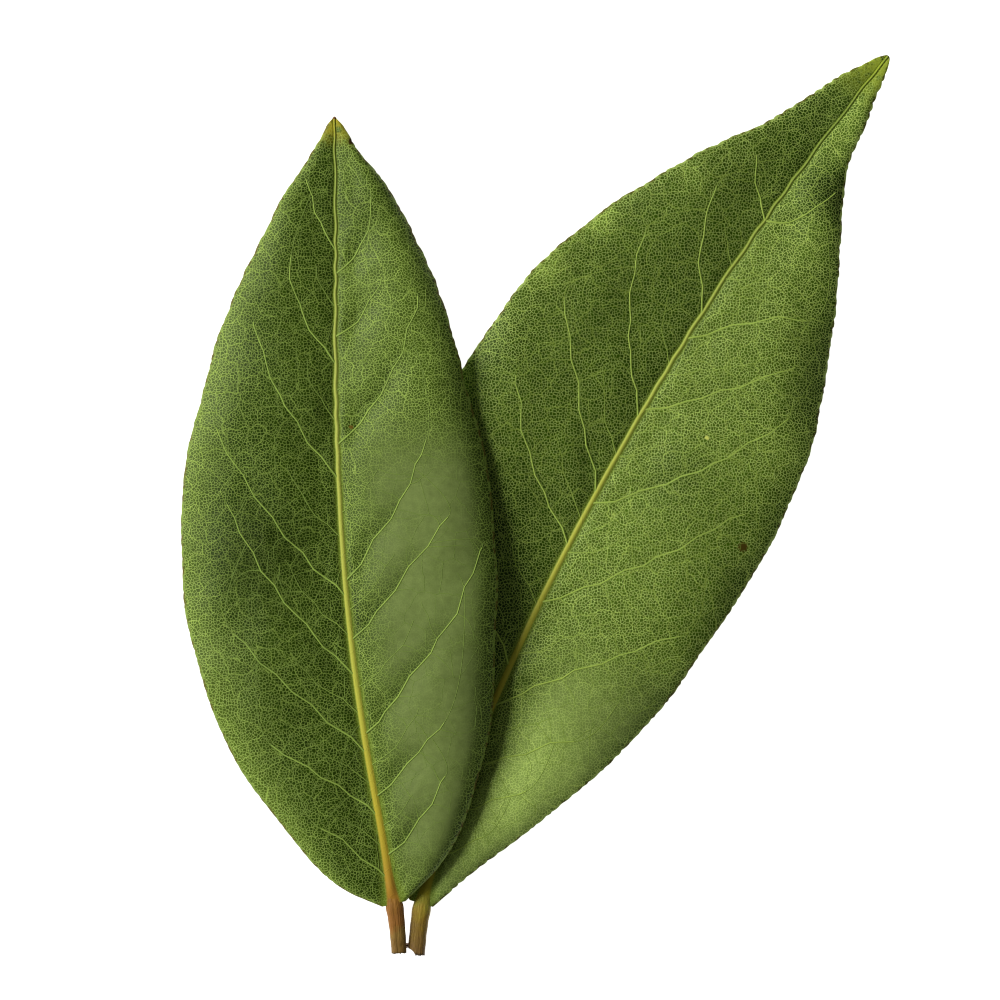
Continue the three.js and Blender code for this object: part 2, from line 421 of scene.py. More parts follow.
@dataclass
class Venation:
    """The veins of one leaf that are big enough to stand proud of the blade."""

    shape: LeafShape
    laterals: dict[Half, tuple[Lateral, ...]]
    seed: int
    step: float = 0.45
    lateral_radius: float = 0.13
    loop_radius: float = 0.07
    branch_radius: float = 0.05
    cross_radius: float = 0.03
    cross_spacing: float = 3.2
    wander: float = 9.0  # degrees that a side vein's heading swings at a bend
    main: list[VeinPath] = field(default_factory=list)
    fine: list[VeinPath] = field(default_factory=list)

    def __post_init__(self) -> None:
        """Lay out every vein."""
        self.chance = np.random.default_rng(self.seed)
        for half in Half:
            paths = [self._lateral(half, vein) for vein in self.laterals[half]]
            self.main += paths
            self.fine += self._loops(paths)
            self.fine += self._between(half)
        self.fine += self._cross_veins()

    def _lateral(self, half: Half, vein: Lateral, radius: float | None = None) -> VeinPath:
        """Walk a side vein outwards, bending a little at each place where it branches.

        Args:
            half: The half that it runs over.
            vein: Where it starts, its angles and its length.
            radius: Its radius at the midrib, where it differs from a strong vein's.

        Returns:
            The vein's path, cut off near the margin.
        """
        steps = max(int(vein.length / self.step), 3)
        along = self.shape.along(np.array([vein.leaves_at]))[0]
        forward = math.atan2(along[1], along[0])
        bends = np.cumsum(self.chance.uniform(1.6, 3.4, steps))
        swings = np.radians(self.chance.uniform(0.4, 1.3, steps + 1) * self.wander)
        swings[::2] *= -1
        which = np.searchsorted(bends, np.arange(steps) * self.step)
        headings = np.radians(np.linspace(vein.first_angle, vein.last_angle, steps))
        headings = forward - half.value * headings + swings[which]
        plan = self._walk(self.shape.centre(np.array([vein.leaves_at])), headings)
        taper = 0.6 + 0.4 * np.linspace(1, 0, len(plan)) ** 1.3
        path = self._inside(VeinPath(plan, (radius or self.lateral_radius) * taper))
        for k in np.nonzero(np.diff(which))[0]:
            if k + 1 < len(path.plan) - 1:
                turn = swings[which[k + 1]] - swings[which[k]]
                self._branch(path.plan[k + 1], headings[k], -np.sign(turn))
        return path

    def _walk(self, start: Array, headings: Array) -> Array:
        """Take one step along each heading in turn, and give the places passed."""
        moves = self.step * np.c_[np.cos(headings), np.sin(headings)]
        return np.vstack([start, start + np.cumsum(moves, axis=0)])

    def _branch(self, start: Array, heading: float, side: float) -> None:
        """Send a thin vein off a bend, with bends of its own.

        Args:
            start: The bend.
            heading: The side vein's heading there, in radians.
            side: 1 to branch off to the left, -1 to the right.
        """
        steps = int(self.chance.uniform(4, 11))
        turns = self.chance.normal(0, 0.16, steps) + side * math.radians(3)
        headings = heading + side * math.radians(self.chance.uniform(42, 68)) + np.cumsum(turns)
        plan = self._walk(start, headings)
        radius = self.branch_radius * np.linspace(1, 0.55, len(plan))
        self.fine.append(self._inside(VeinPath(plan, radius), clearance=0.6))

    def _inside(self, path: VeinPath, clearance: float = 1.1) -> VeinPath:
        """Cut a vein off where it comes near the margin.

        Args:
            path: The vein.
            clearance: How near the margin it may come.

        Returns:
            The vein, or the part of it that is clear of the margin.
        """
        share, sideways = self.shape.locate(path.plan)
        room = self.shape.margin_at(share, sideways) - np.abs(sideways)
        outside = np.nonzero(room < clearance)[0]
        last = max(int(outside[0]), 3) if len(outside) else len(path.plan)
        return VeinPath(path.plan[:last], path.radius[:last])

    def _loops(self, paths: list[VeinPath]) -> list[VeinPath]:
        """Join the end of each side vein to the next one towards the tip, in an arch.

        Args:
            paths: One half's side veins, from base to tip.

        Returns:
            The arches.
        """
        loops = []
        for lower, upper in zip(paths, paths[1:]):
            start = lower.plan[-1]
            end = upper.plan[int(len(upper.plan) * 0.8)]
            gap = np.linalg.norm(end - start)
            onward = lower.plan[-1] - lower.plan[-3]
            onward = onward / np.linalg.norm(onward)
            bend = start + onward * gap * 0.3
            t = np.linspace(0, 1, max(int(gap / self.step), 4))[:, None]
            plan = arc(start, bend, end, t)
            radius = np.full(len(plan), self.loop_radius * 0.6)
            loops.append(self._inside(VeinPath(plan, radius), clearance=0.6))
        return loops

    def _between(self, half: Half) -> list[VeinPath]:
        """Add a thin, short side vein midway between each pair of strong ones.

        Args:
            half: The half to fill.

        Returns:
            The thin veins.
        """
        between = []
        for lower, upper in zip(self.laterals[half], self.laterals[half][1:]):
            middle = Lateral(
                (lower.leaves_at + upper.leaves_at) / 2,
                (lower.first_angle + upper.first_angle) / 2 + 8,
                (lower.last_angle + upper.last_angle) / 2,
                (lower.length + upper.length) * 0.24,
            )
            between.append(self._lateral(half, middle, self.loop_radius))
        return between

    def _cross_veins(self) -> list[VeinPath]:
        """Fill the space between with the walls of irregular cells, as cross veins.

        Returns:
            The cross veins of both halves.
        """
        low = self.shape.centre(np.linspace(0, 1, 50)).min(axis=0) - 24
        high = self.shape.centre(np.linspace(0, 1, 50)).max(axis=0) + 24
        columns = np.arange(low[0], high[0], self.cross_spacing)
        rows = np.arange(low[1], high[1], self.cross_spacing)
        seeds = np.stack(np.meshgrid(columns, rows), axis=-1).reshape(-1, 2)
        seeds += self.chance.uniform(-0.42, 0.42, seeds.shape) * self.cross_spacing
        share, sideways = self.shape.locate(seeds)
        near = np.abs(sideways) < self.shape.margin_at(share, sideways) + 5
        seeds = seeds[near]
        points, _, triangles, *_ = delaunay_2d_cdt([Vector(s) for s in seeds], [], [], 0, 1e-6)
        return self._walls(np.array([tuple(p) for p in points]), triangles)

    def _walls(self, points: Array, triangles: Sequence[Sequence[int]]) -> list[VeinPath]:
        """Join the centres of neighbouring triangles, which gives the walls of the cells.

        Args:
            points: The cells' middles.
            triangles: Rows of three point numbers that join neighbours.

        Returns:
            The walls, as wavering veins.
        """
        centres = [self._circumcentre(*points[list(triangle)]) for triangle in triangles]
        owners: dict[tuple[int, int], list[int]] = {}
        for index, (a, b, c) in enumerate(triangles):
            for pair in ((a, b), (b, c), (c, a)):
                owners.setdefault((min(pair), max(pair)), []).append(index)
        walls = []
        for pair in owners.values():
            if len(pair) != 2:
                continue
            ends = np.array([centres[pair[0]], centres[pair[1]]])
            if self._well_inside(ends) and np.linalg.norm(ends[1] - ends[0]) > 0.3:
                walls.append(self._wavering(ends))
        return walls

    @staticmethod
    def _circumcentre(a: Array, b: Array, c: Array) -> Array:
        """Give the centre of the circle through three points.

        Args:
            a, b, c: The three points.

        Returns:
            The centre.
        """
        double_area = 2 * (a[0] * (b[1] - c[1]) + b[0] * (c[1] - a[1]) + c[0] * (a[1] - b[1]))
        squares = np.array([a @ a, b @ b, c @ c])
        x = squares @ np.array([b[1] - c[1], c[1] - a[1], a[1] - b[1]]) / double_area
        y = squares @ np.array([c[0] - b[0], a[0] - c[0], b[0] - a[0]]) / double_area
        return np.array([x, y])

    def _well_inside(self, plan: Array) -> bool:
        """Tell whether places are clear of the margin and of the midrib.

        Args:
            plan: The places.

        Returns:
            True when all are clear and on the same half.
        """
        share, sideways = self.shape.locate(plan)
        room = self.shape.margin_at(share, sideways) - np.abs(sideways)
        same_half = abs(np.sign(sideways).sum()) == len(plan)
        clear = (room > 0.7) & (np.abs(sideways) > 0.3) & (share > 0.01) & (share < 0.99)
        return bool(clear.all() and same_half)

    def _wavering(self, ends: Array) -> VeinPath:
        """Run a thin vein between two places with a slight waver.

        Args:
            ends: The two places.

        Returns:
            The vein.
        """
        gap = np.linalg.norm(ends[1] - ends[0])
        count = max(int(gap / self.step), 3)
        t = np.linspace(0, 1, count)[:, None]
        sideways = np.array([ends[1][1] - ends[0][1], ends[0][0] - ends[1][0]]) / gap
        waver = self.chance.normal(0, 0.07, (count, 1)) * np.sin(np.pi * t)
        plan = ends[0] + t * (ends[1] - ends[0]) + waver * sideways
        return VeinPath(plan, np.full(count, self.cross_radius * self.chance.uniform(0.7, 1.15)))


@dataclass
class Relief:
    """The fine unevenness of a blade: valleys along its side veins, and low buckles."""

    venation: Venation
    seed: int
    valley_depth: float = 0.13
    valley_reach: float = 1.5
    buckle_height: float = 0.13
    shortest_buckle: float = 4.5
    longest_buckle: float = 14.0
    buckles: int = 26
    trough: float = 0.3  # how deep the midrib lies in the blade
    trough_reach: float = 1.6

    def __post_init__(self) -> None:
        """Draw the buckles' directions, wavelengths and phases."""
        chance = np.random.default_rng(self.seed)
        turns = chance.uniform(0, 2 * np.pi, self.buckles)
        self.wavelengths = chance.uniform(self.shortest_buckle, self.longest_buckle, self.buckles)
        self.ways = np.c_[np.cos(turns), np.sin(turns)] * (2 * np.pi / self.wavelengths)[:, None]
        self.phases = chance.uniform(0, 2 * np.pi, self.buckles)

    def vein_gap(self, plan: Array) -> tuple[Array, Array]:
        """Measure how far places are from the nearest side vein.

        Args:
            plan: The places, in the sprig's plan.

        Returns:
            The gaps, below zero to the right of a vein as it runs outwards, and how strong
            the valley of that vein is there, from 0 at the vein's end to 1.
        """
        nearest = np.full(len(plan), np.inf)
        strength = np.zeros(len(plan))
        for path in self.venation.main:
            starts, ends = path.plan[:-2:2], path.plan[2::2]
            for k, (start, end) in enumerate(zip(starts, ends[: len(starts)])):
                run, away = end - start, plan - start
                t = np.clip(away @ run / max(run @ run, 1e-9), 0, 1)
                gap = np.linalg.norm(away - t[:, None] * run, axis=1)
                gap = np.copysign(gap, run[0] * away[:, 1] - run[1] * away[:, 0])
                closer = np.abs(gap) < np.abs(nearest)
                nearest = np.where(closer, gap, nearest)
                reached = (k + t) / len(starts)
                here = fade(1.0, 0.25, reached) * fade(-0.1, 0.2, reached)
                strength = np.where(closer, here, strength)
        return nearest, strength

    def lift(
        self, plan: Array, share: Array, sideways: Array, gap: Array, strength: Array
    ) -> Array:
        """Give the height that the relief adds, fading out at the midrib and the ends.

        Args:
            plan: The places, in the sprig's plan.
            share: Their shares of the blade's length.
            sideways: Their distances from the midrib.
            gap: Their distances from the nearest side vein.
            strength: How strong that vein's valley is there.

        Returns:
            The heights to add.
        """
        valleys = -self.valley_depth * strength * np.exp(-((gap / self.valley_reach) ** 2))
        waves = np.sin(plan @ self.ways.T + self.phases) * (self.wavelengths / self.longest_buckle)
        buckles = self.buckle_height * waves.sum(axis=1) / math.sqrt(self.buckles / 2)
        ends = fade(0, 0.06, share) * fade(0, 0.08, 1 - share)
        banks = self.trough * (1 - np.exp(-np.abs(sideways) / self.trough_reach))
        return ends * (fade(0.4, 2.5, np.abs(sideways)) * (valleys + buckles) + banks)


# ---------- pieces


class Covering:
    """A piece that stands for one CAD node and takes a finish."""

    node: str
    slot: str

    def dress(self, piece: Object, finish: Material) -> None:
        """Give the piece its finish and its place in the frame.

        Args:
            piece: The piece.
            finish: Its material.
        """
        piece.data.materials.append(finish)
        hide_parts(self.node)
        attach(piece, BODY)


@dataclass
class Blade(Covering):
    """A leaf's blade: a thin closed skin over a grid that follows the midrib."""

    name: str
    node: str
    slot: str
    shape: LeafShape
    relief: Relief
    seed: int
    tip_round: float = 1.2  # how far from the tip its outline starts to close
    tip_power: float = 0.5  # 0.5 gives a round tip, 1 a pointed one
    rows: int = 460
    rib_columns: int = 7
    wing_columns: int = 50
    rib_reach: float = 1.7  # how far the close columns go, in half-widths of the midrib
    scallop: float = 0.13
    scallop_length: float = 1.2
    margin_thickness: float = 0.2
    under_every: int = 3  # the underside has one column for this many above
    shaded_from: float = -0.4  # the painted shade beside a side vein, measured towards the tip
    shaded_to: float = 3.4
    crest_extra: float = 0.1  # how much the midrib's crest stands above its CAD height

    def build(self) -> Object:
        """Make the skin and the attributes that its finish reads.

        Returns:
            The skin.
        """
        even = np.linspace(0, 1, self.rows + 1)
        share = even - 0.7 * np.sin(2 * np.pi * even) / (2 * np.pi)
        sideways = self._columns(share)
        shares = np.repeat(share, sideways.shape[1])
        plan = self.shape.centre(shares)
        plan = plan + self.shape.to_right(shares) * sideways.ravel()[:, None]
        gap, strength = self.relief.vein_gap(plan)
        top = self._top(sideways, shares, plan, gap, strength)
        chosen = self._under_columns(sideways.shape[1])
        under = self._under(share, sideways, top, chosen)
        rims = [self._rim(share, top, under, half) for half in Half]
        points = np.vstack([top.reshape(-1, 3), under.reshape(-1, 3), *rims])
        piece = mesh_piece(self.name, points, self._faces(top.shape[:2], under.shape[:2]))
        # where the finish paints shade: on the tip side of each side vein, fading away from it
        tipward = (gap * np.sign(sideways.ravel())).reshape(sideways.shape)
        open_ground = fade(self.shaded_from, self.shaded_to, tipward)
        valley = strength.reshape(sideways.shape) * (1 - open_ground)
        self._mark(piece, share, sideways, chosen, np.where(tipward < 0, 1, 1 - valley))
        return piece

    def _margin(self, share: Array, half: Half) -> Array:
        """Give the scalloped margin's distance from the midrib.

        Args:
            share: Each row's share of the blade's length.
            half: The half wanted.

        Returns:
            The distances.
        """
        chance = np.random.default_rng(self.seed + half.value)
        plain = self.shape.wing(half).half_width(share)
        run = share * self.shape.length() / self.scallop_length
        marks = np.arange(int(run[-1]) + 2)
        stray = np.interp(run, marks, chance.normal(0, 0.22, len(marks)))
        depth = np.interp(run, marks, chance.uniform(0.3, 1, len(marks)))
        scallops = np.abs(np.sin(np.pi * (run + stray))) - 0.65
        slow = np.sin(share * 61 + self.seed) * 0.5 + np.sin(share * 37 + 2 * self.seed)
        ends = fade(0, 0.03, share) * fade(0, 0.03, 1 - share)
        to_tip = np.clip((1 - share) * self.shape.length() / self.tip_round, 0, 1)
        closing = 0.04 + 0.96 * (1 - (1 - to_tip) ** 2) ** self.tip_power
        return closing * (plain + ends * (self.scallop * depth * scallops * 1.5 + 0.09 * slow))

    def _columns(self, share: Array) -> Array:
        """Lay the grid's columns: close together over the midrib, then out to each margin.

        Args:
            share: Each row's share of the blade's length.

        Returns:
            Signed distances from the midrib, in rows and columns.
        """
        rib = self.shape.rib_half_width.at(share)[:, None]
        close = rib * self.rib_reach * np.linspace(0, 1, self.rib_columns + 1)
        spread = np.linspace(0, 1, self.wing_columns + 1)[1:]
        spread = spread + 0.1 * np.sin(np.pi * spread) * spread
        halves = []
        for half in Half:
            margin = self._margin(share, half)[:, None]
            inner = np.minimum(close, margin * np.linspace(0, 0.6, self.rib_columns + 1))
            start = inner[:, -1:]
            halves.append(half.value * np.hstack([inner[:, 1:], start + (margin - start) * spread]))
        return np.hstack([halves[0][:, ::-1], np.zeros((len(share), 1)), halves[1]])

    def _top(
        self, sideways: Array, shares: Array, plan: Array, gap: Array, strength: Array
    ) -> Array:
        """Place the upper surface, with the midrib's crest and the relief.

        Args:
            sideways: The grid's distances from the midrib.
            shares: Each point's share of the blade's length.
            plan: Each point's place in plan.
            gap: Each point's distance from the nearest side vein.
            strength: How strong that vein's valley is there.

        Returns:
            The surface's points, in rows and columns.
        """
        across = sideways.ravel()
        rib = self.shape.rib_half_width.at(shares)
        groove = np.exp(-(((np.abs(across) - 1.35 * rib) / (0.5 * rib)) ** 2)) * 0.05
        height = self.shape.surface(shares, across) + self.relief.lift(
            plan, shares, across, gap, strength
        )
        height += self._crest(shares, np.abs(across)) - groove
        return np.c_[plan, height].reshape(*sideways.shape, 3)

    def _crest(self, share: Array, across: Array) -> Array:
        """Give the height of the midrib's crest, which is lower where the stalk comes in.

        Args:
            share: Shares of the blade's length.
            across: Distances from the midrib, all positive.

        Returns:
            The heights to add to the plain surface.
        """
        dome = np.cos(np.clip(across / self.shape.rib_half_width.at(share), 0, 1) * np.pi / 2) ** 2
        tall = self.shape.rib_above.at(share) + self.crest_extra
        return dome * tall * (0.3 + 0.7 * fade(0, 0.024, share))

    def _under_columns(self, count: int) -> Array:
        """Choose which columns the underside has: all near the midrib, fewer over the wings.

        Args:
            count: How many columns the top has.

        Returns:
            The numbers of the columns to keep.
        """
        middle = count // 2
        near = range(middle - self.rib_columns, middle + self.rib_columns + 1, 2)
        coarse = set(range(0, middle, self.under_every)) | {0, count - 1}
        coarse |= {count - 1 - column for column in coarse}
        kept = {c for c in coarse if abs(c - middle) > self.rib_columns}
        return np.array(sorted(kept | set(near) | {middle}))

    def _under(self, share: Array, sideways: Array, top: Array, chosen: Array) -> Array:
        """Place the underside, with the midrib's keel resting no lower than the surface.

        Args:
            share: Each row's share of the blade's length.
            sideways: The grid's distances from the midrib.
            top: The top's points.
            chosen: The underside's columns.

        Returns:
            The underside's points, in rows and columns.
        """
        across = np.abs(sideways[:, chosen])
        rib = self.shape.rib_half_width.at(share)[:, None]
        keel = np.clip(2 * (1 - across / rib), 0, 1)
        margin = np.where(sideways[:, chosen] < 0, across[:, :1], across[:, -1:])
        thin = fade(0.0, 1.6, margin - across)
        thickness = self.margin_thickness + (self.shape.thickness - self.margin_thickness) * thin
        crest = self._crest(share[:, None], across)
        under = top[:, chosen].copy()
        under[..., 2] -= crest + thickness + self.shape.rib_below.at(share)[:, None] * keel
        under[..., 2] = np.maximum(under[..., 2], 0.0)
        return under

    def _rim(self, share: Array, top: Array, under: Array, half: Half) -> Array:
        """Round the margin with one row of points just outside it.

        Args:
            share: Each row's share of the blade's length.
            top: The top's points.
            under: The underside's points.
            half: The margin wanted.

        Returns:
            One point for each row.
        """
        column = 0 if half is Half.LEFT else -1
        outward = np.c_[half.value * self.shape.to_right(share), np.zeros(len(share))]
        return (top[:, column] + under[:, column]) / 2 + outward * self.margin_thickness * 0.45

    def _faces(self, top: tuple[int, int], under: tuple[int, int]) -> list[list[int]]:
        """Join the grids, the rims and the two ends into one closed skin.

        Args:
            top: Rows and columns of the top.
            under: Rows and columns of the underside.

        Returns:
            Rows of vertex numbers, each turned outwards.
        """
        rows, wide = top
        narrow = under[1]
        under_start = rows * wide
        left_start = under_start + rows * narrow
        right_start = left_start + rows
        faces = []
        for r in range(rows - 1):
            above, below = r * wide, under_start + r * narrow
            for c in range(wide - 1):
                a = above + c
                faces.append([a, a + 1, a + 1 + wide, a + wide])
            for c in range(narrow - 1):
                a = below + c
                faces.append([a, a + narrow, a + 1 + narrow, a + 1])
            left, right = left_start + r, right_start + r
            top_right, under_right = above + wide - 1, below + narrow - 1
            faces.append([left, above, above + wide, left + 1])
            faces.append([below, left, left + 1, below + narrow])
            faces.append([top_right, right, right + 1, top_right + wide])
            faces.append([right, under_right, under_right + narrow, right + 1])
        for r, facing_back in ((0, True), (rows - 1, False)):
            above, below = r * wide, under_start + r * narrow
            ring = [left_start + r, *range(above, above + wide), right_start + r]
            ring += reversed(range(below, below + narrow))
            faces.append(ring[::-1] if facing_back else ring)
        return faces

    def _mark(
        self,
        piece: Object,
        share: Array,
        sideways: Array,
        chosen: Array,
        painted_vein_shading: Array,
    ) -> None:
        """Write the attributes that the finish reads.

        Args:
            piece: The skin.
            share: Each row's share of the blade's length.
            sideways: The grid's distances from the midrib.
            chosen: The underside's columns.
            painted_vein_shading: 1 over most of the grid, less on the tip side of a side vein,
                where the finish paints shade.
        """
        halves = [np.abs(sideways[:, :1]), np.abs(sideways[:, -1:])]
        edge = np.where(sideways < 0, halves[0], halves[1])
        rib = self.shape.rib_half_width.at(share)[:, None]
        over_rib = np.abs(sideways) / rib
        inside = edge - np.abs(sideways)
        length = np.repeat(share, sideways.shape[1]).reshape(sideways.shape)
        lean = sideways / edge
        for name, grid, rim in (
            ("over_rib", over_rib, 9.0),
            ("from_margin", inside, 0.0),
            ("along", length, None),
            ("lean", lean, 1.0),
            ("painted_vein_shading", painted_vein_shading, 1.0),
        ):
            rims = [share, share] if rim is None else [np.full(len(share), rim)] * 2
            if name == "lean":
                rims[0] = -rims[0]
            write_attribute(
                piece, name, np.concatenate([grid.ravel(), grid[:, chosen].ravel(), *rims])
            )
        under = np.zeros(sideways.size + chosen.size * len(share) + 2 * len(share))
        under[sideways.size : sideways.size + chosen.size * len(share)] = 1.0
        write_attribute(piece, "underside", under)


class SweepTree:
    """The Geometry Nodes tree that sweeps a round section along every chain of edges."""

    def __init__(self) -> None:
        """Build the tree once, with named inputs."""
        self.tree = bpy.data.node_groups.new("vein_sweep", "GeometryNodeTree")
        add = self.tree.interface.new_socket
        add("Geometry", in_out="INPUT", socket_type="NodeSocketGeometry")
        sides = add("Sides", in_out="INPUT", socket_type="NodeSocketInt")
        finish = add("Finish", in_out="INPUT", socket_type="NodeSocketMaterial")
        add("Geometry", in_out="OUTPUT", socket_type="NodeSocketGeometry")
        self.sides, self.finish = sides.identifier, finish.identifier
        nodes, links = self.tree.nodes, self.tree.links
        entry = nodes.new("NodeGroupInput")
        to_curve = nodes.new("GeometryNodeMeshToCurve")
        radius = nodes.new("GeometryNodeInputNamedAttribute")
        radius.data_type = "FLOAT"
        radius.inputs["Name"].default_value = "vein_radius"
        circle = nodes.new("GeometryNodeCurvePrimitiveCircle")
        circle.mode = "RADIUS"
        circle.inputs["Radius"].default_value = 1.0
        sweep = nodes.new("GeometryNodeCurveToMesh")
        sweep.inputs["Fill Caps"].default_value = True
        smooth = nodes.new("GeometryNodeSetShadeSmooth")
        realize = nodes.new("GeometryNodeRealizeInstances")
        coat = nodes.new("GeometryNodeSetMaterial")
        leave = nodes.new("NodeGroupOutput")
        links.new(entry.outputs["Geometry"], to_curve.inputs["Mesh"])
        links.new(to_curve.outputs["Curve"], sweep.inputs["Curve"])
        links.new(radius.outputs["Attribute"], sweep.inputs["Scale"])
        links.new(entry.outputs["Sides"], circle.inputs["Resolution"])
        links.new(circle.outputs["Curve"], sweep.inputs["Profile Curve"])
        links.new(sweep.outputs["Mesh"], smooth.inputs["Geometry"])
        links.new(smooth.outputs["Geometry"], realize.inputs["Geometry"])
        links.new(realize.outputs["Geometry"], coat.inputs["Geometry"])
        links.new(entry.outputs["Finish"], coat.inputs["Material"])
        links.new(coat.outputs["Geometry"], leave.inputs["Geometry"])

    def sweep(
        self, name: str, paths: Sequence[tuple[Array, Array]], sides: int, finish: Material
    ) -> Object:
        """Sweep tubes along paths and keep the result as a plain mesh.

        Args:
            name: The new piece's name.
            paths: Pairs of points and radii, in millimetres from the meeting point.
            sides: How many sides a tube has.
            finish: The material of every tube.

        Returns:
            The piece, at the origin.
        """
        points = np.vstack([path for path, _ in paths])
        placed = (points + sprig_anchor()) * MM
        edges, start = [], 0
        for path, _ in paths:
            edges += [(start + k, start + k + 1) for k in range(len(path) - 1)]
            start += len(path)
        mesh = bpy.data.meshes.new(f"{name}_paths")
        mesh.from_pydata(placed.tolist(), edges, [])
        carrier = show(f"{name}_carrier", mesh)
        write_attribute(carrier, "vein_radius", np.concatenate([r for _, r in paths]) * MM)
        modifier = carrier.modifiers.new("sweep", "NODES")
        modifier.node_group = self.tree
        modifier[self.sides] = sides
        modifier[self.finish] = finish
        graph = bpy.context.evaluated_depsgraph_get()
        made = bpy.data.meshes.new_from_object(carrier.evaluated_get(graph))
        made.name = name
        bpy.data.objects.remove(carrier)
        return show(name, made)


@dataclass
class VeinRidges:
    """The side veins and cross veins that stand a little proud of a blade's top."""

    name: str
    slot: str
    blade: Blade
    venation: Venation
    sunk: float = 0.35  # how deep a vein's axis lies, as a share of its radius
    sides: int = 8

    def build(self, tree: SweepTree, finish: Material) -> Object:
        """Lay every vein on the blade's surface and sweep it.

        Args:
            tree: The tree that sweeps the tubes.
            finish: Their material.

        Returns:
            The ridges, as one piece.
        """
        paths = [p for p in self.venation.main + self.venation.fine if len(p.plan) >= 3]
        plan = np.vstack([path.plan for path in paths])
        radius = np.concatenate([path.radius for path in paths])
        share, sideways = self.blade.shape.locate(plan)
        relief = self.blade.relief
        height = self.blade.shape.surface(share, sideways)
        height += relief.lift(plan, share, sideways, *relief.vein_gap(plan))
        points = np.c_[plan, height - self.sunk * radius]
        cuts = np.cumsum([len(path.plan) for path in paths])[:-1]
        routes = list(zip(np.split(points, cuts), np.split(radius, cuts)))
        return tree.sweep(self.name, routes, self.sides, finish)

    def dress(self, piece: Object) -> None:
        """Give the ridges their place in the frame.

        Args:
            piece: The ridges.
        """
        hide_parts(self.blade.node)
        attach(piece, BODY)


@dataclass
class Stalk(Covering):
    """A leaf's stalk: a channelled, faintly ribbed rod from its cut end into the blade."""

    name: str
    node: str
    slot: str
    shape: LeafShape
    cut_end: tuple[float, float, float]
    cut_half_width: float
    blade_half_width: float
    seed: int
    torn: bool = False
    half_height: tuple[float, float] = (0.85, 0.92)
    groove: float = 0.14
    rows: int = 110
    sides: int = 64
    reach_in: float = 2.6  # how far the stalk runs on inside the blade's base
    swell: float = 0.05  # how much it thickens where it meets the blade
    dive: float = 0.15  # how far its inner end drops under the blade
    tear_centre: tuple[float, float] = (-0.02, -1.3)
    tear_radius: float = 1.05
    fibre_depth: float = 0.008
    fray: float = 0.02

    def build(self) -> Object:
        """Make the rod, with a ragged cut end.

        Returns:
            The rod.
        """
        rows = self._rings()
        count = self.sides
        faces = []
        for r in range(len(rows) - 1):
            for k in range(count):
                a, b = r * count + k, r * count + (k + 1) % count
                faces.append([a, b, b + count, a + count])
        last = (len(rows) - 1) * count
        faces.append([last + k for k in range(count)])
        faces.append([k for k in reversed(range(count))])
        points = np.vstack(rows)
        piece = mesh_piece(self.name, points, faces)
        write_attribute(piece, "up_stalk", np.repeat(np.linspace(0, 1, len(rows)), count))
        return piece

    def _axis(self, share: Array) -> Array:
        """Give the stalk's axis from its cut end, at 0, to inside the blade, at 1.

        Args:
            share: Shares of the stalk's length.

        Returns:
            Rows of x, y and z.
        """
        heading = np.r_[self.shape.along(np.array([0.0]))[0], 0]
        inside = self.shape.centre(np.array([self.reach_in / self.shape.length()]))[0]
        base = np.r_[inside, 0] - heading * self.reach_in
        above = float(self.shape.rib_above.at(np.array(0.0)))
        below = self.shape.thickness + float(self.shape.rib_below.at(np.array(0.0)))
        base[2] = self.shape.base_height + (above - below) / 2
        end = base + heading * self.reach_in
        start = np.array(self.cut_end)
        bend = end - heading * 0.45 * np.linalg.norm(end - start)
        t = np.atleast_1d(share)[:, None]
        axis = arc(start, bend, end, t)
        axis[:, 2] -= self.dive * fade(0.6, 1.0, t[:, 0])
        return axis

    def _rings(self) -> list[Array]:
        """Make the rod's sections, closing in on the cut face over the first few.

        Returns:
            The sections in order, each a ring of points.
        """
        chance = np.random.default_rng(self.seed)
        shares = np.linspace(0, 1, self.rows)
        centres = self._axis(shares)
        headings = np.gradient(centres, axis=0)
        headings /= np.linalg.norm(headings, axis=1, keepdims=True)
        angles = np.pi - 2 * np.pi * np.arange(self.sides) / self.sides
        ribs = sum(
            self.fibre_depth * np.sin(k * angles + chance.uniform(0, WHOLE_TURN))
            for k in (7, 11, 16, 23)
        )
        ragged = sum(
            self.fray * np.sin(k * angles + chance.uniform(0, WHOLE_TURN)) for k in (3, 8, 13, 19)
        )
        rings = []
        for share, centre, heading in zip(shares, centres, headings):
            right = np.array([heading[1], -heading[0], 0])
            right /= np.linalg.norm(right)
            up = np.cross(right, heading)
            half_width = np.interp(share, (0, 1), (self.cut_half_width, self.blade_half_width))
            half_height = np.interp(share, (0, 1), self.half_height)
            pinch = 1 - 0.015 * np.sin(share * 31 + self.seed) - 0.02 * math.exp(-share / 0.02)
            pinch += self.swell * fade(0.4, 0.6, share) - 0.4 * fade(0.56, 1.0, share)
            grooved = self.groove * np.clip(np.sin(angles), 0, 1) ** 6 * (1 - 0.5 * share)
            out = np.outer((half_width * pinch + ribs) * np.cos(angles), right)
            out += np.outer((half_height * pinch + ribs) * np.sin(angles) - grooved, up)
            along = np.outer(ragged * math.exp(-share / 0.03), heading)
            rings.append(self._bitten(centre + out - along))
        hollow = [
            centres[0] + (rings[0] - centres[0]) * size + headings[0] * depth
            for size, depth in ((0.25, 0.06), (0.6, 0.1), (0.85, 0.07))
        ]
        return [*hollow, *rings]

    def _bitten(self, ring: Array) -> Array:
        """Push a section's points out of the bite that the tear left, where there is one.

        Args:
            ring: One section's points.

        Returns:
            The points, with none inside the bite.
        """
        if not self.torn:
            return ring
        offset = ring[:, :2] - np.array(self.tear_centre)
        gap = np.linalg.norm(offset, axis=1, keepdims=True)
        pushed = np.array(self.tear_centre) + offset / np.maximum(gap, 1e-6) * self.tear_radius
        bitten = ring.copy()
        bitten[:, :2] = np.where(gap < self.tear_radius, pushed, ring[:, :2])
        return bitten


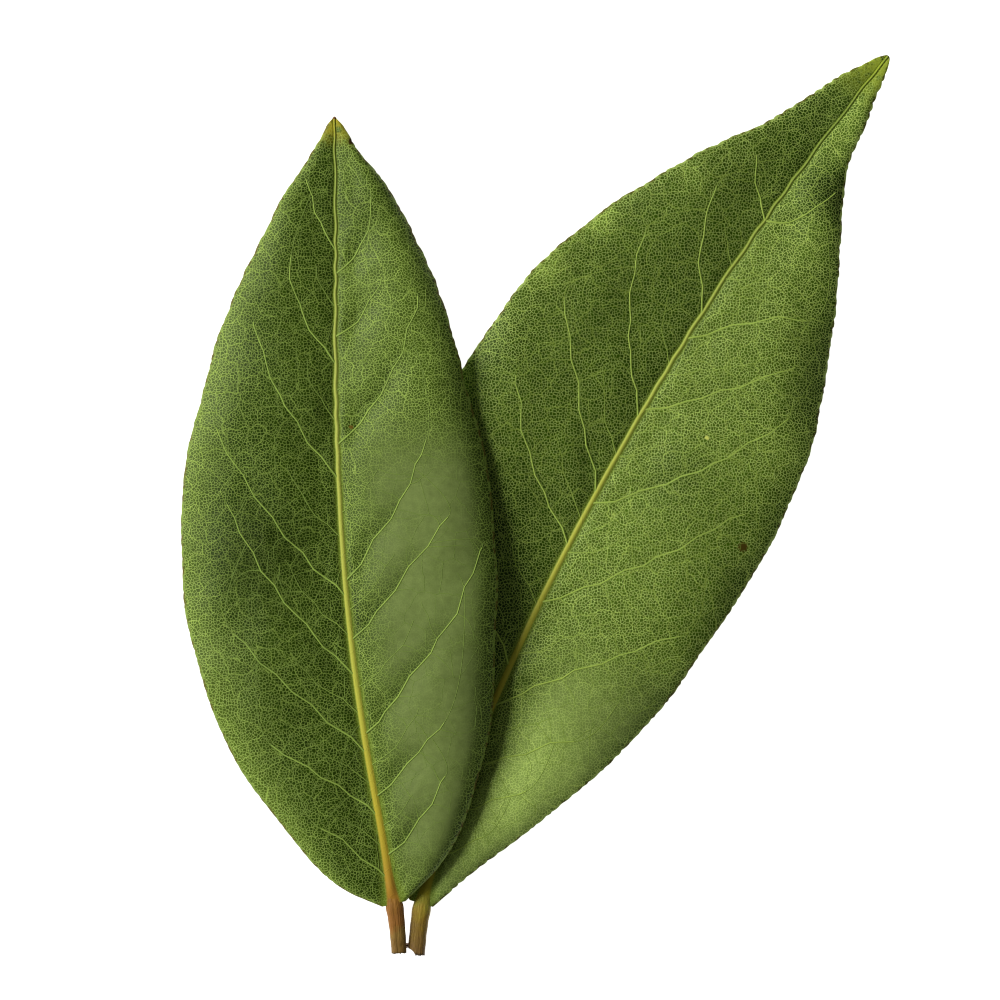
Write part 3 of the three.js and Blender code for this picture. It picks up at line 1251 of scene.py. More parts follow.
@dataclass
class BarkFlake(Covering):
    """The shred of bark that holds the stalk ends together."""

    name: str = "bark_flake"
    node: str = "twig_bark"
    slot: str = "bark"
    seed: int = 11
    outline: tuple[tuple[float, float], ...] = (
        (-1.7, -0.3), (-0.6, -0.6), (0.15, -0.3), (1.3, -0.5), (1.9, 0.1),
        (0.9, 0.4), (0.05, 0.25), (-0.9, 0.6), (-1.7, 0.5),
    )
    bottom: float = 0.12
    thickness: float = 0.45
    rings: int = 10
    round_points: int = 96

    def build(self) -> Object:
        """Make a thin, rough flake with a ridge that rises between the stalks.

        Returns:
            The flake.
        """
        edge = self._edge()
        middle = edge.mean(axis=0)
        chance = np.random.default_rng(self.seed)
        phases = chance.uniform(0, WHOLE_TURN, (2, 4))
        layers = []
        for top in (True, False):
            for ring in range(self.rings + 1):
                size = (self.rings - ring) / self.rings if top else ring / self.rings
                size = max(size, 0.02)
                plan = middle + (edge - middle) * size
                layers.append(np.c_[plan, self._height(plan, size, top, phases)])
        count = self.round_points
        faces = []
        upper = layers[: self.rings + 1][::-1]
        lower = layers[self.rings + 1 :][::-1]
        rows = upper + lower
        for r in range(len(rows) - 1):
            for k in range(count):
                a, b = r * count + k, r * count + (k + 1) % count
                faces.append([a, a + count, b + count, b])
        faces.append(list(range(count)))
        last = (len(rows) - 1) * count
        faces.append([last + k for k in reversed(range(count))])
        return mesh_piece(self.name, np.vstack(rows), faces)

    def _edge(self) -> Array:
        """Round the outline's corners and fray it.

        Returns:
            The edge's points in plan.
        """
        corners = np.array(self.outline)
        count = len(corners)
        chance = np.random.default_rng(self.seed + 1)
        t = np.linspace(0, count, self.round_points, endpoint=False)
        i = t.astype(int)
        f = (t - i)[:, None]
        a, b, c, d = (corners[(i + k) % count] for k in (-1, 0, 1, 2))
        smooth = 0.5 * (
            2 * b + (c - a) * f + (2 * a - 5 * b + 4 * c - d) * f**2
            + (3 * b - a - 3 * c + d) * f**3
        )
        middle = smooth.mean(axis=0)
        fray = 1 + chance.normal(0, 0.025, len(smooth))[:, None]
        return middle + (smooth - middle) * fray * 0.97

    def _height(self, plan: Array, size: float, top: bool, phases: Array) -> Array:
        """Give the flake's upper or lower face, thinning to its edge.

        Args:
            plan: Places in plan.
            size: The size of their ring, from 0 at the middle to 1 at the edge.
            top: Whether the upper face is wanted.
            phases: The phases of its roughness.

        Returns:
            The heights.
        """
        rough = sum(
            0.03 * np.sin(plan[:, 0] * (5 + 3 * k) + plan[:, 1] * (2 + k) + phases[0, k])
            for k in range(4)
        )
        half = self.thickness / 2 * math.sqrt(max(1 - size**4, 0.02))
        level = self.bottom + self.thickness / 2
        if not top:
            return np.maximum(level - half + rough * 0.4, 0.02)
        ridge = 1.2 * np.exp(-(((plan[:, 0] - 0.05) / 0.22) ** 2))
        ridge = ridge * np.exp(-(((plan[:, 1] - 0.02) / 0.22) ** 2)) * (1 - size**2)
        return level + half + rough + ridge


# ---------- finishes


class Graph:
    """A thin layer over a node tree that makes nodes and links with few words."""

    def __init__(self, tree: NodeTree) -> None:
        """Work on one tree."""
        self.tree = tree

    @classmethod
    def of_material(cls, name: str) -> tuple[Material, Graph]:
        """Start a material with an empty tree.

        Args:
            name: The material's name.

        Returns:
            The material and the graph to work in.
        """
        material = bpy.data.materials.new(name)
        material.use_nodes = True
        material.node_tree.nodes.clear()
        return material, cls(material.node_tree)

    def surface(self, shader: Node) -> None:
        """Show a shader on the material's surface."""
        self.feed(self.node("ShaderNodeOutputMaterial").inputs["Surface"], shader.outputs[0])

    def node(self, kind: str, **settings: object) -> Node:
        """Add a node and set its properties.

        Args:
            kind: The node's type.
            settings: The properties to set.

        Returns:
            The node.
        """
        made = self.tree.nodes.new(kind)
        for name, value in settings.items():
            setattr(made, name, value)
        return made

    def feed(self, socket: NodeSocket, source: object) -> None:
        """Link a socket to another one, or set its value.

        Args:
            socket: The socket to fill.
            source: Another socket, or a value.
        """
        if isinstance(source, NodeSocket):
            self.tree.links.new(source, socket)
        else:
            socket.default_value = source

    def math(self, operation: str, *sources: object, clamp: bool = False) -> NodeSocket:
        """Add one step of arithmetic.

        Args:
            operation: The kind of step.
            sources: Its inputs, as sockets or values.
            clamp: Whether to hold the result between 0 and 1.

        Returns:
            The result.
        """
        made = self.node("ShaderNodeMath", operation=operation, use_clamp=clamp)
        for socket, source in zip(made.inputs, sources):
            self.feed(socket, source)
        return made.outputs[0]

    def vector(self, operation: str, *sources: object) -> NodeSocket:
        """Add one step of vector arithmetic.

        Args:
            operation: The kind of step.
            sources: Its vectors, as sockets or values.

        Returns:
            The result, which is a plain value for a length.
        """
        made = self.node("ShaderNodeVectorMath", operation=operation)
        for socket, source in zip(made.inputs, sources):
            self.feed(socket, source)
        return made.outputs["Value" if operation == "LENGTH" else "Vector"]

    def scaled(self, vector: object, size: object) -> NodeSocket:
        """Multiply a vector or a colour by one value.

        Args:
            vector: The vector or colour.
            size: What to multiply it by.

        Returns:
            The result.
        """
        made = self.node("ShaderNodeVectorMath", operation="SCALE")
        self.feed(made.inputs[0], vector)
        self.feed(made.inputs["Scale"], size)
        return made.outputs["Vector"]

    def bump(self, height: object, distance: float, strength: float) -> NodeSocket:
        """Turn heights into a normal.

        Args:
            height: The heights, about 0 to 1.
            distance: How far 1 stands up, in metres.
            strength: How much of it shows.

        Returns:
            The normal.
        """
        made = self.node("ShaderNodeBump")
        made.inputs["Strength"].default_value = strength
        made.inputs["Distance"].default_value = distance
        self.feed(made.inputs["Height"], height)
        return made.outputs["Normal"]

    def mix(self, share: object, first: object, second: object) -> NodeSocket:
        """Mix two colours.

        Args:
            share: How much of the second, from 0 to 1.
            first: A colour.
            second: Another colour.

        Returns:
            The mixture.
        """
        made = self.node("ShaderNodeMix", data_type="RGBA")
        self.feed(made.inputs["Factor"], share)
        self.feed(made.inputs["A"], first)
        self.feed(made.inputs["B"], second)
        return made.outputs["Result"]

    def mix_value(self, share: object, first: object, second: object) -> NodeSocket:
        """Blend two plain values."""
        gap = self.math("SUBTRACT", second, first)
        return self.math("MULTIPLY_ADD", gap, share, first)

    def remap(
        self, value: object, start: object, end: object, low: float = 0.0, high: float = 1.0
    ) -> NodeSocket:
        """Carry a value smoothly from one range to another, and hold it there.

        Args:
            value: The value to carry over.
            start, end: The range it comes from.
            low, high: The range it goes to.

        Returns:
            The new value.
        """
        made = self.node("ShaderNodeMapRange", interpolation_type="SMOOTHSTEP")
        for socket, source in zip(made.inputs, (value, start, end, low, high)):
            self.feed(socket, source)
        return made.outputs["Result"]

    def attribute(self, name: str) -> NodeSocket:
        """Read one of the piece's own numbers."""
        made = self.node("ShaderNodeAttribute", attribute_name=name)
        return made.outputs["Fac"]

    def ramp(self, value: object, stops: Sequence[tuple[float, Colour]]) -> NodeSocket:
        """Run a value through a row of colours.

        Args:
            value: The value, from 0 to 1.
            stops: Places and colours along the row.

        Returns:
            The colour.
        """
        made = self.node("ShaderNodeValToRGB")
        elements = made.color_ramp.elements
        while len(elements) < len(stops):
            elements.new(0.5)
        for element, (place, colour) in zip(elements, stops):
            element.position = place
            element.color = colour
        self.feed(made.inputs["Fac"], value)
        return made.outputs["Color"]

    def place(self) -> NodeSocket:
        """Read the piece's own coordinates."""
        return self.node("ShaderNodeTexCoord").outputs["Object"]

    def group(self, tree: NodeTree, **inputs: object) -> Node:
        """Place a node group and set its inputs; underscores in a name stand for spaces.

        Args:
            tree: The group.
            inputs: Sockets or values for its inputs.

        Returns:
            The node.
        """
        made = self.node("ShaderNodeGroup")
        made.node_tree = tree
        for name, source in inputs.items():
            self.feed(made.inputs[name.replace("_", " ")], source)
        return made


def new_group(
    name: str, inputs: Sequence[tuple[str, str, object]], outputs: Sequence[tuple[str, str]]
) -> tuple[Graph, Node, Node]:
    """Start a shader node group.

    Args:
        name: The group's name.
        inputs: Name, socket type and default value of each input.
        outputs: Name and socket type of each output.

    Returns:
        The graph to work in, its entry node and its exit node.
    """
    tree = bpy.data.node_groups.new(name, "ShaderNodeTree")
    for label, kind, value in inputs:
        socket = tree.interface.new_socket(label, in_out="INPUT", socket_type=kind)
        if value is not None:
            socket.default_value = value
    for label, kind in outputs:
        tree.interface.new_socket(label, in_out="OUTPUT", socket_type=kind)
    graph = Graph(tree)
    return graph, graph.node("NodeGroupInput"), graph.node("NodeGroupOutput")


def vein_mesh_group() -> NodeTree:
    """Build the group that draws a net of fine veins round small cells.

    Returns:
        The group.
    """
    graph, entry, leave = new_group(
        "vein_mesh",
        (
            ("Vector", "NodeSocketVector", None),
            ("Cell Size", "NodeSocketFloat", 0.00045),
            ("Vein Width", "NodeSocketFloat", 0.15),
            ("Softness", "NodeSocketFloat", 0.12),
            ("Unevenness", "NodeSocketFloat", 1.0),
            ("Waver", "NodeSocketFloat", 0.25),
        ),
        (("Veins", "NodeSocketFloat"), ("Cell Tone", "NodeSocketFloat")),
    )
    scale = graph.math("DIVIDE", 1.0, entry.outputs["Cell Size"])
    scaled = graph.scaled(entry.outputs["Vector"], scale)
    waver = graph.node("ShaderNodeTexNoise", noise_dimensions="2D")
    graph.feed(waver.inputs["Vector"], scaled)
    graph.feed(waver.inputs["Scale"], 1.1)
    graph.feed(waver.inputs["Detail"], 1.0)
    centred = graph.vector("SUBTRACT", waver.outputs["Color"], (0.5, 0.5, 0.5))
    spread = graph.node("ShaderNodeCombineXYZ")
    for axis in ("X", "Y"):
        graph.feed(spread.inputs[axis], entry.outputs["Waver"])
    pushed = graph.vector("MULTIPLY_ADD", centred, spread.outputs[0], scaled)
    edges = graph.node(
        "ShaderNodeTexVoronoi", voronoi_dimensions="2D", feature="DISTANCE_TO_EDGE"
    )
    cells = graph.node("ShaderNodeTexVoronoi", voronoi_dimensions="2D", feature="F1")
    for pattern in (edges, cells):
        graph.feed(pattern.inputs["Vector"], pushed)
        graph.feed(pattern.inputs["Scale"], 1.0)
        graph.feed(pattern.inputs["Randomness"], entry.outputs["Unevenness"])
    outer = graph.math("ADD", entry.outputs["Vein Width"], entry.outputs["Softness"])
    inner = graph.math("SUBTRACT", entry.outputs["Vein Width"], entry.outputs["Softness"])
    line = graph.remap(edges.outputs["Distance"], inner, outer, 1.0, 0.0)
    tone = graph.node("ShaderNodeSeparateColor")
    graph.feed(tone.inputs[0], cells.outputs["Color"])
    graph.feed(leave.inputs["Veins"], line)
    graph.feed(leave.inputs["Cell Tone"], tone.outputs[0])
    return graph.tree


def mottle_group() -> NodeTree:
    """Build the group that gives soft patches of light and dark.

    Returns:
        The group.
    """
    graph, entry, leave = new_group(
        "mottle",
        (
            ("Vector", "NodeSocketVector", None),
            ("Patch Size", "NodeSocketFloat", 0.006),
            ("Contrast", "NodeSocketFloat", 1.5),
        ),
        (("Value", "NodeSocketFloat"),),
    )
    noise = graph.node("ShaderNodeTexNoise", noise_dimensions="3D")
    graph.feed(noise.inputs["Vector"], entry.outputs["Vector"])
    graph.feed(noise.inputs["Scale"], graph.math("DIVIDE", 1.0, entry.outputs["Patch Size"]))
    graph.feed(noise.inputs["Detail"], 3.0)
    centred = graph.math("SUBTRACT", noise.outputs["Fac"], 0.5)
    spread = graph.math("MULTIPLY", centred, entry.outputs["Contrast"])
    graph.feed(leave.inputs["Value"], graph.math("ADD", spread, 0.5, clamp=True))
    return graph.tree


def spot_group() -> NodeTree:
    """Build the group that marks one small blemish round a point.

    Returns:
        The group.
    """
    graph, entry, leave = new_group(
        "spot",
        (
            ("Vector", "NodeSocketVector", None),
            ("Centre", "NodeSocketVector", None),
            ("Radius", "NodeSocketFloat", 0.0005),
            ("Softness", "NodeSocketFloat", 0.25),
        ),
        (("Mask", "NodeSocketFloat"),),
    )
    noise = graph.node("ShaderNodeTexNoise", noise_dimensions="2D")
    graph.feed(noise.inputs["Vector"], entry.outputs["Vector"])
    graph.feed(noise.inputs["Scale"], 3000.0)
    gap = graph.vector("SUBTRACT", entry.outputs["Vector"], entry.outputs["Centre"])
    length = graph.vector("LENGTH", graph.vector("MULTIPLY", gap, (1.0, 1.0, 0.0)))
    ratio = graph.math("DIVIDE", length, entry.outputs["Radius"])
    ragged = graph.math("ADD", ratio, graph.math("MULTIPLY", noise.outputs["Fac"], 0.8))
    inner = graph.math("SUBTRACT", 1.15, entry.outputs["Softness"])
    outer = graph.math("ADD", 1.15, entry.outputs["Softness"])
    graph.feed(leave.inputs["Mask"], graph.remap(ragged, inner, outer, 1.0, 0.0))
    return graph.tree


@dataclass(frozen=True)
class Spot:
    """A small blemish: its place from the stalks' meeting point, its radius and its colour."""

    x: float
    y: float
    radius: float
    colour: Colour


@dataclass(frozen=True)
class Patch:
    """A soft patch of painted light on a blade, or of painted shade where its tone is below zero.
    """

    x: float
    y: float
    radius: float
    tone: float


@dataclass(frozen=True)
class BladeColours:
    """The colours of one blade's upper and lower faces, with its painted sheen and the lit green of
    its painted light.
    """

    deep: Colour
    fresh: Colour
    cell_shadow: Colour
    vein: Colour
    wide_vein: Colour
    rib: tuple[tuple[float, Colour], ...]
    rib_edge: Colour
    thin_vein: Colour
    margin: Colour
    # the colour of the painted sheen
    painted_sheen: Colour
    # a lit green that the painted light mixes in
    lit_wash: Colour
    tip: Colour
    underside: Colour


@dataclass(frozen=True)
class BladeFinish:
    """The finish of a blade: green cells, glossy with wax, in a pale net of veins, with painted
    light, shade and sheen over them.
    """

    name: str
    colours: BladeColours
    # where sheen is painted: the half, the shares of the length where it starts and ends, and its
    # strength
    painted_sheen_half: Half
    painted_sheen_from: float
    painted_sheen_to: float
    painted_sheen_strength: float
    painted_lightness: tuple[tuple[float, float], ...]  # painted light across the blade, from the left margin, at 0, to the right, at 1
    painted_vein_shade: float  # how deep the shade painted on the tip side of each side vein is
    painted_sheen_edge: float = 0.97  # the share of the half where the painted sheen ends
    gloss: float = 0.08
    base_painted_lightness: float = 0.0  # how much painted sheen lightens the right half towards its base
    tip_from: float = 0.955
    spots: tuple[Spot, ...] = ()
    # patches of painted light and painted shade
    patches: tuple[Patch, ...] = ()
    fine_cell: float = 0.33  # sizes in millimetres
    wide_cell: float = 2.1
    patch_size: float = 7
    fleck_size: float = 0.9
    blotch_size: float = 4
    sheen_over_net: float = 0.86  # how much of the net the painted sheen hides where it is strongest
    # how the lit copy of the green for the painted light is made, and how much of the lit green
    # goes into it
    lit_gain: tuple[float, float, float] = (2.4, 2.3, 2.5)
    lit_lift: tuple[float, float, float] = (0.010, 0.012, 0.003)
    wash_share: float = 0.36
    bump_height: float = 0.006

    def make(self, groups: Groups) -> Material:
        """Build the material.

        Args:
            groups: The shared node groups, by name.

        Returns:
            The material.
        """
        material, graph = Graph.of_material(self.name)
        place = graph.place()
        fine = graph.group(groups["mesh"], Vector=place, Cell_Size=self.fine_cell * MM,
                           Vein_Width=0.1, Softness=0.07, Waver=0.45)
        middle = graph.group(groups["mesh"], Vector=place, Cell_Size=self.wide_cell * MM,
                             Vein_Width=0.02, Softness=0.02, Waver=0.6)
        patches = graph.group(groups["mottle"], Vector=place, Patch_Size=self.patch_size * MM,
                              Contrast=2.2)
        flecks = graph.group(groups["mottle"], Vector=place, Patch_Size=self.fleck_size * MM,
                             Contrast=2.0)
        # painted sheen over one half of the blade, which is also rougher there
        painted_sheen = self._painted_sheen(graph, groups)
        colour = self._green(graph, fine, middle, patches, flecks, painted_sheen)
        # painted light and painted shade over the green
        colour = self._paint_light_and_shade(graph, groups, colour, patches)
        colour = self._rib_and_margin(graph, colour, flecks)
        at_tip = graph.remap(graph.attribute("along"), self.tip_from, 1.0)
        at_tip = graph.math("MULTIPLY", at_tip, graph.remap(flecks.outputs["Value"], 0.1, 0.6))
        colour = graph.mix(at_tip, colour, self.colours.tip)
        for spot in self.spots:
            colour = self._spotted(graph, groups, place, colour, spot)
        under = graph.attribute("underside")
        pale = graph.mix(fine.outputs["Veins"], self.colours.underside, self.colours.vein)
        colour = graph.mix(under, colour, pale)
        shader = graph.node("ShaderNodeBsdfPrincipled")
        graph.feed(shader.inputs["Base Color"], colour)
        rough = graph.math("MULTIPLY", flecks.outputs["Value"], 0.14)
        rough = graph.math("ADD", rough, graph.math("MULTIPLY_ADD", painted_sheen, 0.14, 0.34))
        graph.feed(shader.inputs["Roughness"], graph.math("ADD", rough,
                                                          graph.math("MULTIPLY", under, 0.25)))
        shader.inputs["Specular IOR Level"].default_value = self.gloss
        graph.feed(shader.inputs["Normal"], self._bumps(graph, fine, middle, flecks, painted_sheen))
        graph.surface(shader)
        return material

    def _painted_sheen(self, graph: Graph, groups: Groups) -> NodeSocket:
        """Mark where sheen is painted over one half of the blade, less on the tip side of each side
        vein.

        Args:
            graph: The material's graph.
            groups: The shared node groups, by name.

        Returns:
            The mask, from 0 for none to 1.
        """
        lean = graph.math("MULTIPLY", graph.attribute("lean"), float(self.painted_sheen_half.value))
        along = graph.attribute("along")
        across = graph.math("MULTIPLY", graph.remap(lean, 0.05, 0.4),
                            graph.remap(lean, self.painted_sheen_edge, self.painted_sheen_edge - 0.17))
        start = graph.remap(along, self.painted_sheen_from - 0.12, self.painted_sheen_from)
        end = graph.remap(along, self.painted_sheen_to + 0.12, self.painted_sheen_to)
        whole = graph.math("MULTIPLY", across, graph.math("MULTIPLY", start, end))
        blotches = graph.group(groups["mottle"], Vector=graph.place(),
                               Patch_Size=self.blotch_size * MM, Contrast=2.0)
        whole = graph.math("MULTIPLY", whole, graph.remap(blotches.outputs["Value"], 0.0, 0.5,
                                                          0.7, 1.0))
        whole = graph.math("MULTIPLY", whole, self._painted_vein_shading(graph))
        return graph.math("MULTIPLY", whole, self.painted_sheen_strength)

    def _painted_vein_shading(self, graph: Graph) -> NodeSocket:
        """Give 1 over most of the blade, and less on the tip side of each side vein, where shade is
        painted.
        """
        painted_vein_shading = graph.attribute("painted_vein_shading")
        return graph.remap(painted_vein_shading, 0.0, 1.0, 1.0 - self.painted_vein_shade, 1.0)

    def _green(
        self,
        graph: Graph,
        fine: Node,
        middle: Node,
        patches: Node,
        flecks: Node,
        painted_sheen: NodeSocket,
    ) -> NodeSocket:
        """Colour the cells and the two finest orders of veins, and paint the sheen over them.

        Args:
            graph: The material's graph.
            fine: The net of the finest veins.
            middle: The net of the next ones.
            patches: The slow mottle.
            flecks: The quick mottle.
            painted_sheen: Where sheen is painted.

        Returns:
            The colour.
        """
        base = graph.mix(patches.outputs["Value"], self.colours.deep, self.colours.fresh)
        cell = graph.math("MULTIPLY", fine.outputs["Cell Tone"], 0.6)
        cell = graph.mix(cell, base, self.colours.cell_shadow)
        strength = graph.math("MULTIPLY", flecks.outputs["Value"], 0.5)
        strength = graph.math("ADD", strength, 0.5)
        # the painted sheen hides part of the net
        clear = graph.math("SUBTRACT", 1.0, graph.math("MULTIPLY", painted_sheen, self.sheen_over_net))
        lines = graph.math("MULTIPLY", fine.outputs["Veins"], strength)
        lines = graph.math("MULTIPLY", lines, clear)
        netted = graph.mix(lines, cell, self.colours.vein)
        wide = graph.math("MULTIPLY", middle.outputs["Veins"], graph.math("MULTIPLY", clear, 0.45))
        netted = graph.mix(wide, netted, self.colours.wide_vein)
        # the colour of the painted sheen, mottled
        sheen_tint = graph.mix(flecks.outputs["Value"], tinted(self.colours.painted_sheen, 0.8),
                         tinted(self.colours.painted_sheen, 1.2))
        return graph.mix(graph.math("MULTIPLY", painted_sheen, 0.8), netted, sheen_tint)

    def _paint_light_and_shade(self, graph: Graph, groups: Groups, colour: NodeSocket, patches: Node) -> NodeSocket:
        """Paint light and sheen over strips and patches of the blade, and paint shade on the tip
        side of each side vein and in darker patches.

        Args:
            graph: The material's graph.
            groups: The shared node groups, by name.
            colour: The colour so far.
            patches: The slow mottle.

        Returns:
            The colour with its painted light and shade.
        """
        # painted light across the blade, by where a place lies between its margins
        lean = graph.math("MULTIPLY_ADD", graph.attribute("lean"), 0.5, 0.5)
        wander = graph.math("SUBTRACT", patches.outputs["Value"], 0.5)
        lean = graph.math("ADD", lean, graph.math("MULTIPLY", wander, 0.05))
        stops = [(place, (tone, tone, tone, 1.0)) for place, tone in self.painted_lightness]
        tone = graph.ramp(lean, stops)
        # painted sheen towards the base of the right half
        base = graph.math("MULTIPLY", graph.remap(lean, 0.56, 0.72),
                          graph.remap(graph.attribute("along"), 0.36, 0.1))
        # painted shade on the tip side of each side vein, over the right half
        on_right = graph.remap(lean, 0.5, 0.52)
        shade = graph.mix_value(on_right, 1.0, self._painted_vein_shading(graph))
        tone = graph.math("MULTIPLY", tone, shade)
        # patches of painted light, or of painted shade where the tone is below zero
        for patch in self.patches:
            centre = (np.array([patch.x, patch.y, 0.0]) + sprig_anchor()) * MM
            mark = graph.group(groups["spot"], Vector=graph.place(), Centre=tuple(centre),
                               Radius=patch.radius * MM, Softness=0.85)
            tone = graph.math("MULTIPLY_ADD", mark.outputs["Mask"], patch.tone, tone)
        # the lit copy of the green that the painted light mixes in
        lighter = graph.vector("MULTIPLY_ADD", colour, self.lit_gain, self.lit_lift)
        washed = graph.mix(self.wash_share, lighter, self.colours.lit_wash)
        # the painted sheen at the base lightens the whole colour, and the dark patches' painted
        # shade darkens it
        scale = graph.math("MULTIPLY_ADD", base, self.base_painted_lightness, 1.0)
        darker = graph.math("MULTIPLY", graph.math("MINIMUM", tone, 0.0), 0.8)
        return graph.scaled(graph.mix(tone, colour, washed), graph.math("ADD", scale, darker))

    def _rib_and_margin(self, graph: Graph, colour: NodeSocket, flecks: Node) -> NodeSocket:
        """Colour the midrib's crest and the thin horny margin.

        Args:
            graph: The material's graph.
            colour: The colour so far.
            flecks: The quick mottle.

        Returns:
            The colour with its rib and margin.
        """
        along = graph.attribute("along")
        rib = graph.ramp(along, self.colours.rib)
        over_rib = graph.attribute("over_rib")
        beside = graph.math("MULTIPLY", graph.remap(over_rib, 2.3, 0.95), 0.6)
        colour = graph.mix(beside, colour, self.colours.rib_edge)
        colour = graph.mix(graph.remap(over_rib, 0.98, 0.5), colour, rib)
        gap = graph.math("SUBTRACT", graph.attribute("from_margin"),
                         graph.math("MULTIPLY", flecks.outputs["Value"], 0.22))
        at_margin = graph.remap(gap, 0.13, -0.03)
        edge = graph.mix(graph.remap(flecks.outputs["Value"], 0.35, 0.6), self.colours.margin,
                         self.colours.vein)
        return graph.mix(graph.math("MULTIPLY", at_margin, 0.75), colour, edge)

    @staticmethod
    def _spotted(
        graph: Graph,
        groups: Groups,
        place: NodeSocket,
        colour: NodeSocket,
        spot: Spot,
    ) -> NodeSocket:
        """Add one blemish to a colour.

        Args:
            graph: The material's graph.
            groups: The shared node groups, by name.
            place: The piece's own coordinates.
            colour: The colour so far.
            spot: The blemish.

        Returns:
            The colour with the blemish.
        """
        centre = (np.array([spot.x, spot.y, 0.0]) + sprig_anchor()) * MM
        mark = graph.group(
            groups["spot"], Vector=place, Centre=tuple(centre), Radius=spot.radius * MM
        )
        return graph.mix(mark.outputs["Mask"], colour, spot.colour)

    def _bumps(
        self,
        graph: Graph,
        fine: Node,
        middle: Node,
        flecks: Node,
        painted_sheen: NodeSocket,
    ) -> NodeSocket:
        """Raise the net of veins a little, and leave the wax between it slightly uneven.

        Args:
            graph: The material's graph.
            fine: The net of the finest veins.
            middle: The net of the next ones.
            flecks: The quick mottle.
            painted_sheen: Where sheen is painted; the bumps are calmer there.

        Returns:
            The normal.
        """
        height = graph.math("ADD", fine.outputs["Veins"],
                            graph.math("MULTIPLY", middle.outputs["Veins"], 3.0))
        height = graph.math("ADD", height, graph.math("MULTIPLY", flecks.outputs["Value"], 1.2))
        calm = graph.math("SUBTRACT", 1.0, graph.math("MULTIPLY", painted_sheen, 0.8))
        height = graph.math("MULTIPLY", height, calm)
        return graph.bump(height, self.bump_height * MM, 0.8)


@dataclass(frozen=True)
class VeinFinish:
    """The pale, slightly glossy skin of the raised veins."""

    name: str
    colour: Colour
    shaded: Colour

    def make(self, groups: Groups) -> Material:
        """Build the material.

        Args:
            groups: The shared node groups, by name.

        Returns:
            The material.
        """
        material, graph = Graph.of_material(self.name)
        patches = graph.group(groups["mottle"], Vector=graph.place(), Patch_Size=2.5 * MM,
                              Contrast=2.4)
        shader = graph.node("ShaderNodeBsdfPrincipled")
        strong = graph.remap(graph.attribute("vein_radius"), 0.03 * MM, 0.08 * MM)
        strong = graph.math("MULTIPLY", strong,
                            graph.math("ADD", graph.math("MULTIPLY", patches.outputs["Value"], 0.5),
                                       0.5))
        graph.feed(shader.inputs["Base Color"], graph.mix(strong, self.shaded, self.colour))
        graph.feed(shader.inputs["Roughness"],
                   graph.math("ADD", graph.math("MULTIPLY", patches.outputs["Value"], 0.1), 0.45))
        shader.inputs["Specular IOR Level"].default_value = 0.15
        graph.surface(shader)
        return material


@dataclass(frozen=True)
class StalkFinish:
    """The fibrous skin of a stalk, browner towards its cut end."""

    name: str
    stops: tuple[tuple[float, Colour], ...]
    streak: Colour
    cut: Colour

    def make(self, groups: Groups) -> Material:
        """Build the material.

        Args:
            groups: The shared node groups, by name.

        Returns:
            The material.
        """
        material, graph = Graph.of_material(self.name)
        place = graph.place()
        patches = graph.group(groups["mottle"], Vector=place, Patch_Size=1.1 * MM, Contrast=2.2)
        stretched = graph.node("ShaderNodeMapping")
        stretched.inputs["Scale"].default_value = (1.0, 0.12, 1.0)
        graph.feed(stretched.inputs["Vector"], place)
        fibres = graph.group(groups["mottle"], Vector=stretched.outputs[0], Patch_Size=0.16 * MM,
                             Contrast=2.6)
        up_stalk = graph.attribute("up_stalk")
        wander = graph.math("MULTIPLY", graph.math("SUBTRACT", patches.outputs["Value"], 0.5), 0.25)
        colour = graph.ramp(graph.math("ADD", up_stalk, wander), self.stops)
        colour = graph.mix(graph.math("MULTIPLY", fibres.outputs["Value"], 0.35), colour,
                           self.streak)
        at_cut = graph.remap(up_stalk, 0.06, 0.02)
        colour = graph.mix(at_cut, colour, self.cut)
        shader = graph.node("ShaderNodeBsdfPrincipled")
        graph.feed(shader.inputs["Base Color"], colour)
        graph.feed(shader.inputs["Roughness"],
                   graph.math("ADD", graph.math("MULTIPLY", patches.outputs["Value"], 0.2), 0.42))
        shader.inputs["Specular IOR Level"].default_value = 0.15
        graph.feed(shader.inputs["Normal"], graph.bump(fibres.outputs["Value"], 0.05 * MM, 0.7))
        graph.surface(shader)
        return material


@dataclass(frozen=True)
class BarkFinish:
    """Dry dark bark with paler fibres."""

    name: str = "dry_bark"
    dark: Colour = paint(70, 46, 26)
    pale: Colour = paint(128, 84, 44)

    def make(self, groups: Groups) -> Material:
        """Build the material.

        Args:
            groups: The shared node groups, by name.

        Returns:
            The material.
        """
        material, graph = Graph.of_material(self.name)
        fibres = graph.group(groups["mottle"], Vector=graph.place(), Patch_Size=0.25 * MM,
                             Contrast=2.6)
        shader = graph.node("ShaderNodeBsdfPrincipled")
        graph.feed(shader.inputs["Base Color"],
                   graph.mix(fibres.outputs["Value"], self.dark, self.pale))
        shader.inputs["Roughness"].default_value = 0.8
        graph.feed(shader.inputs["Normal"], graph.bump(fibres.outputs["Value"], 0.08 * MM, 1.0))
        graph.surface(shader)
        return material


# ---------- the studio


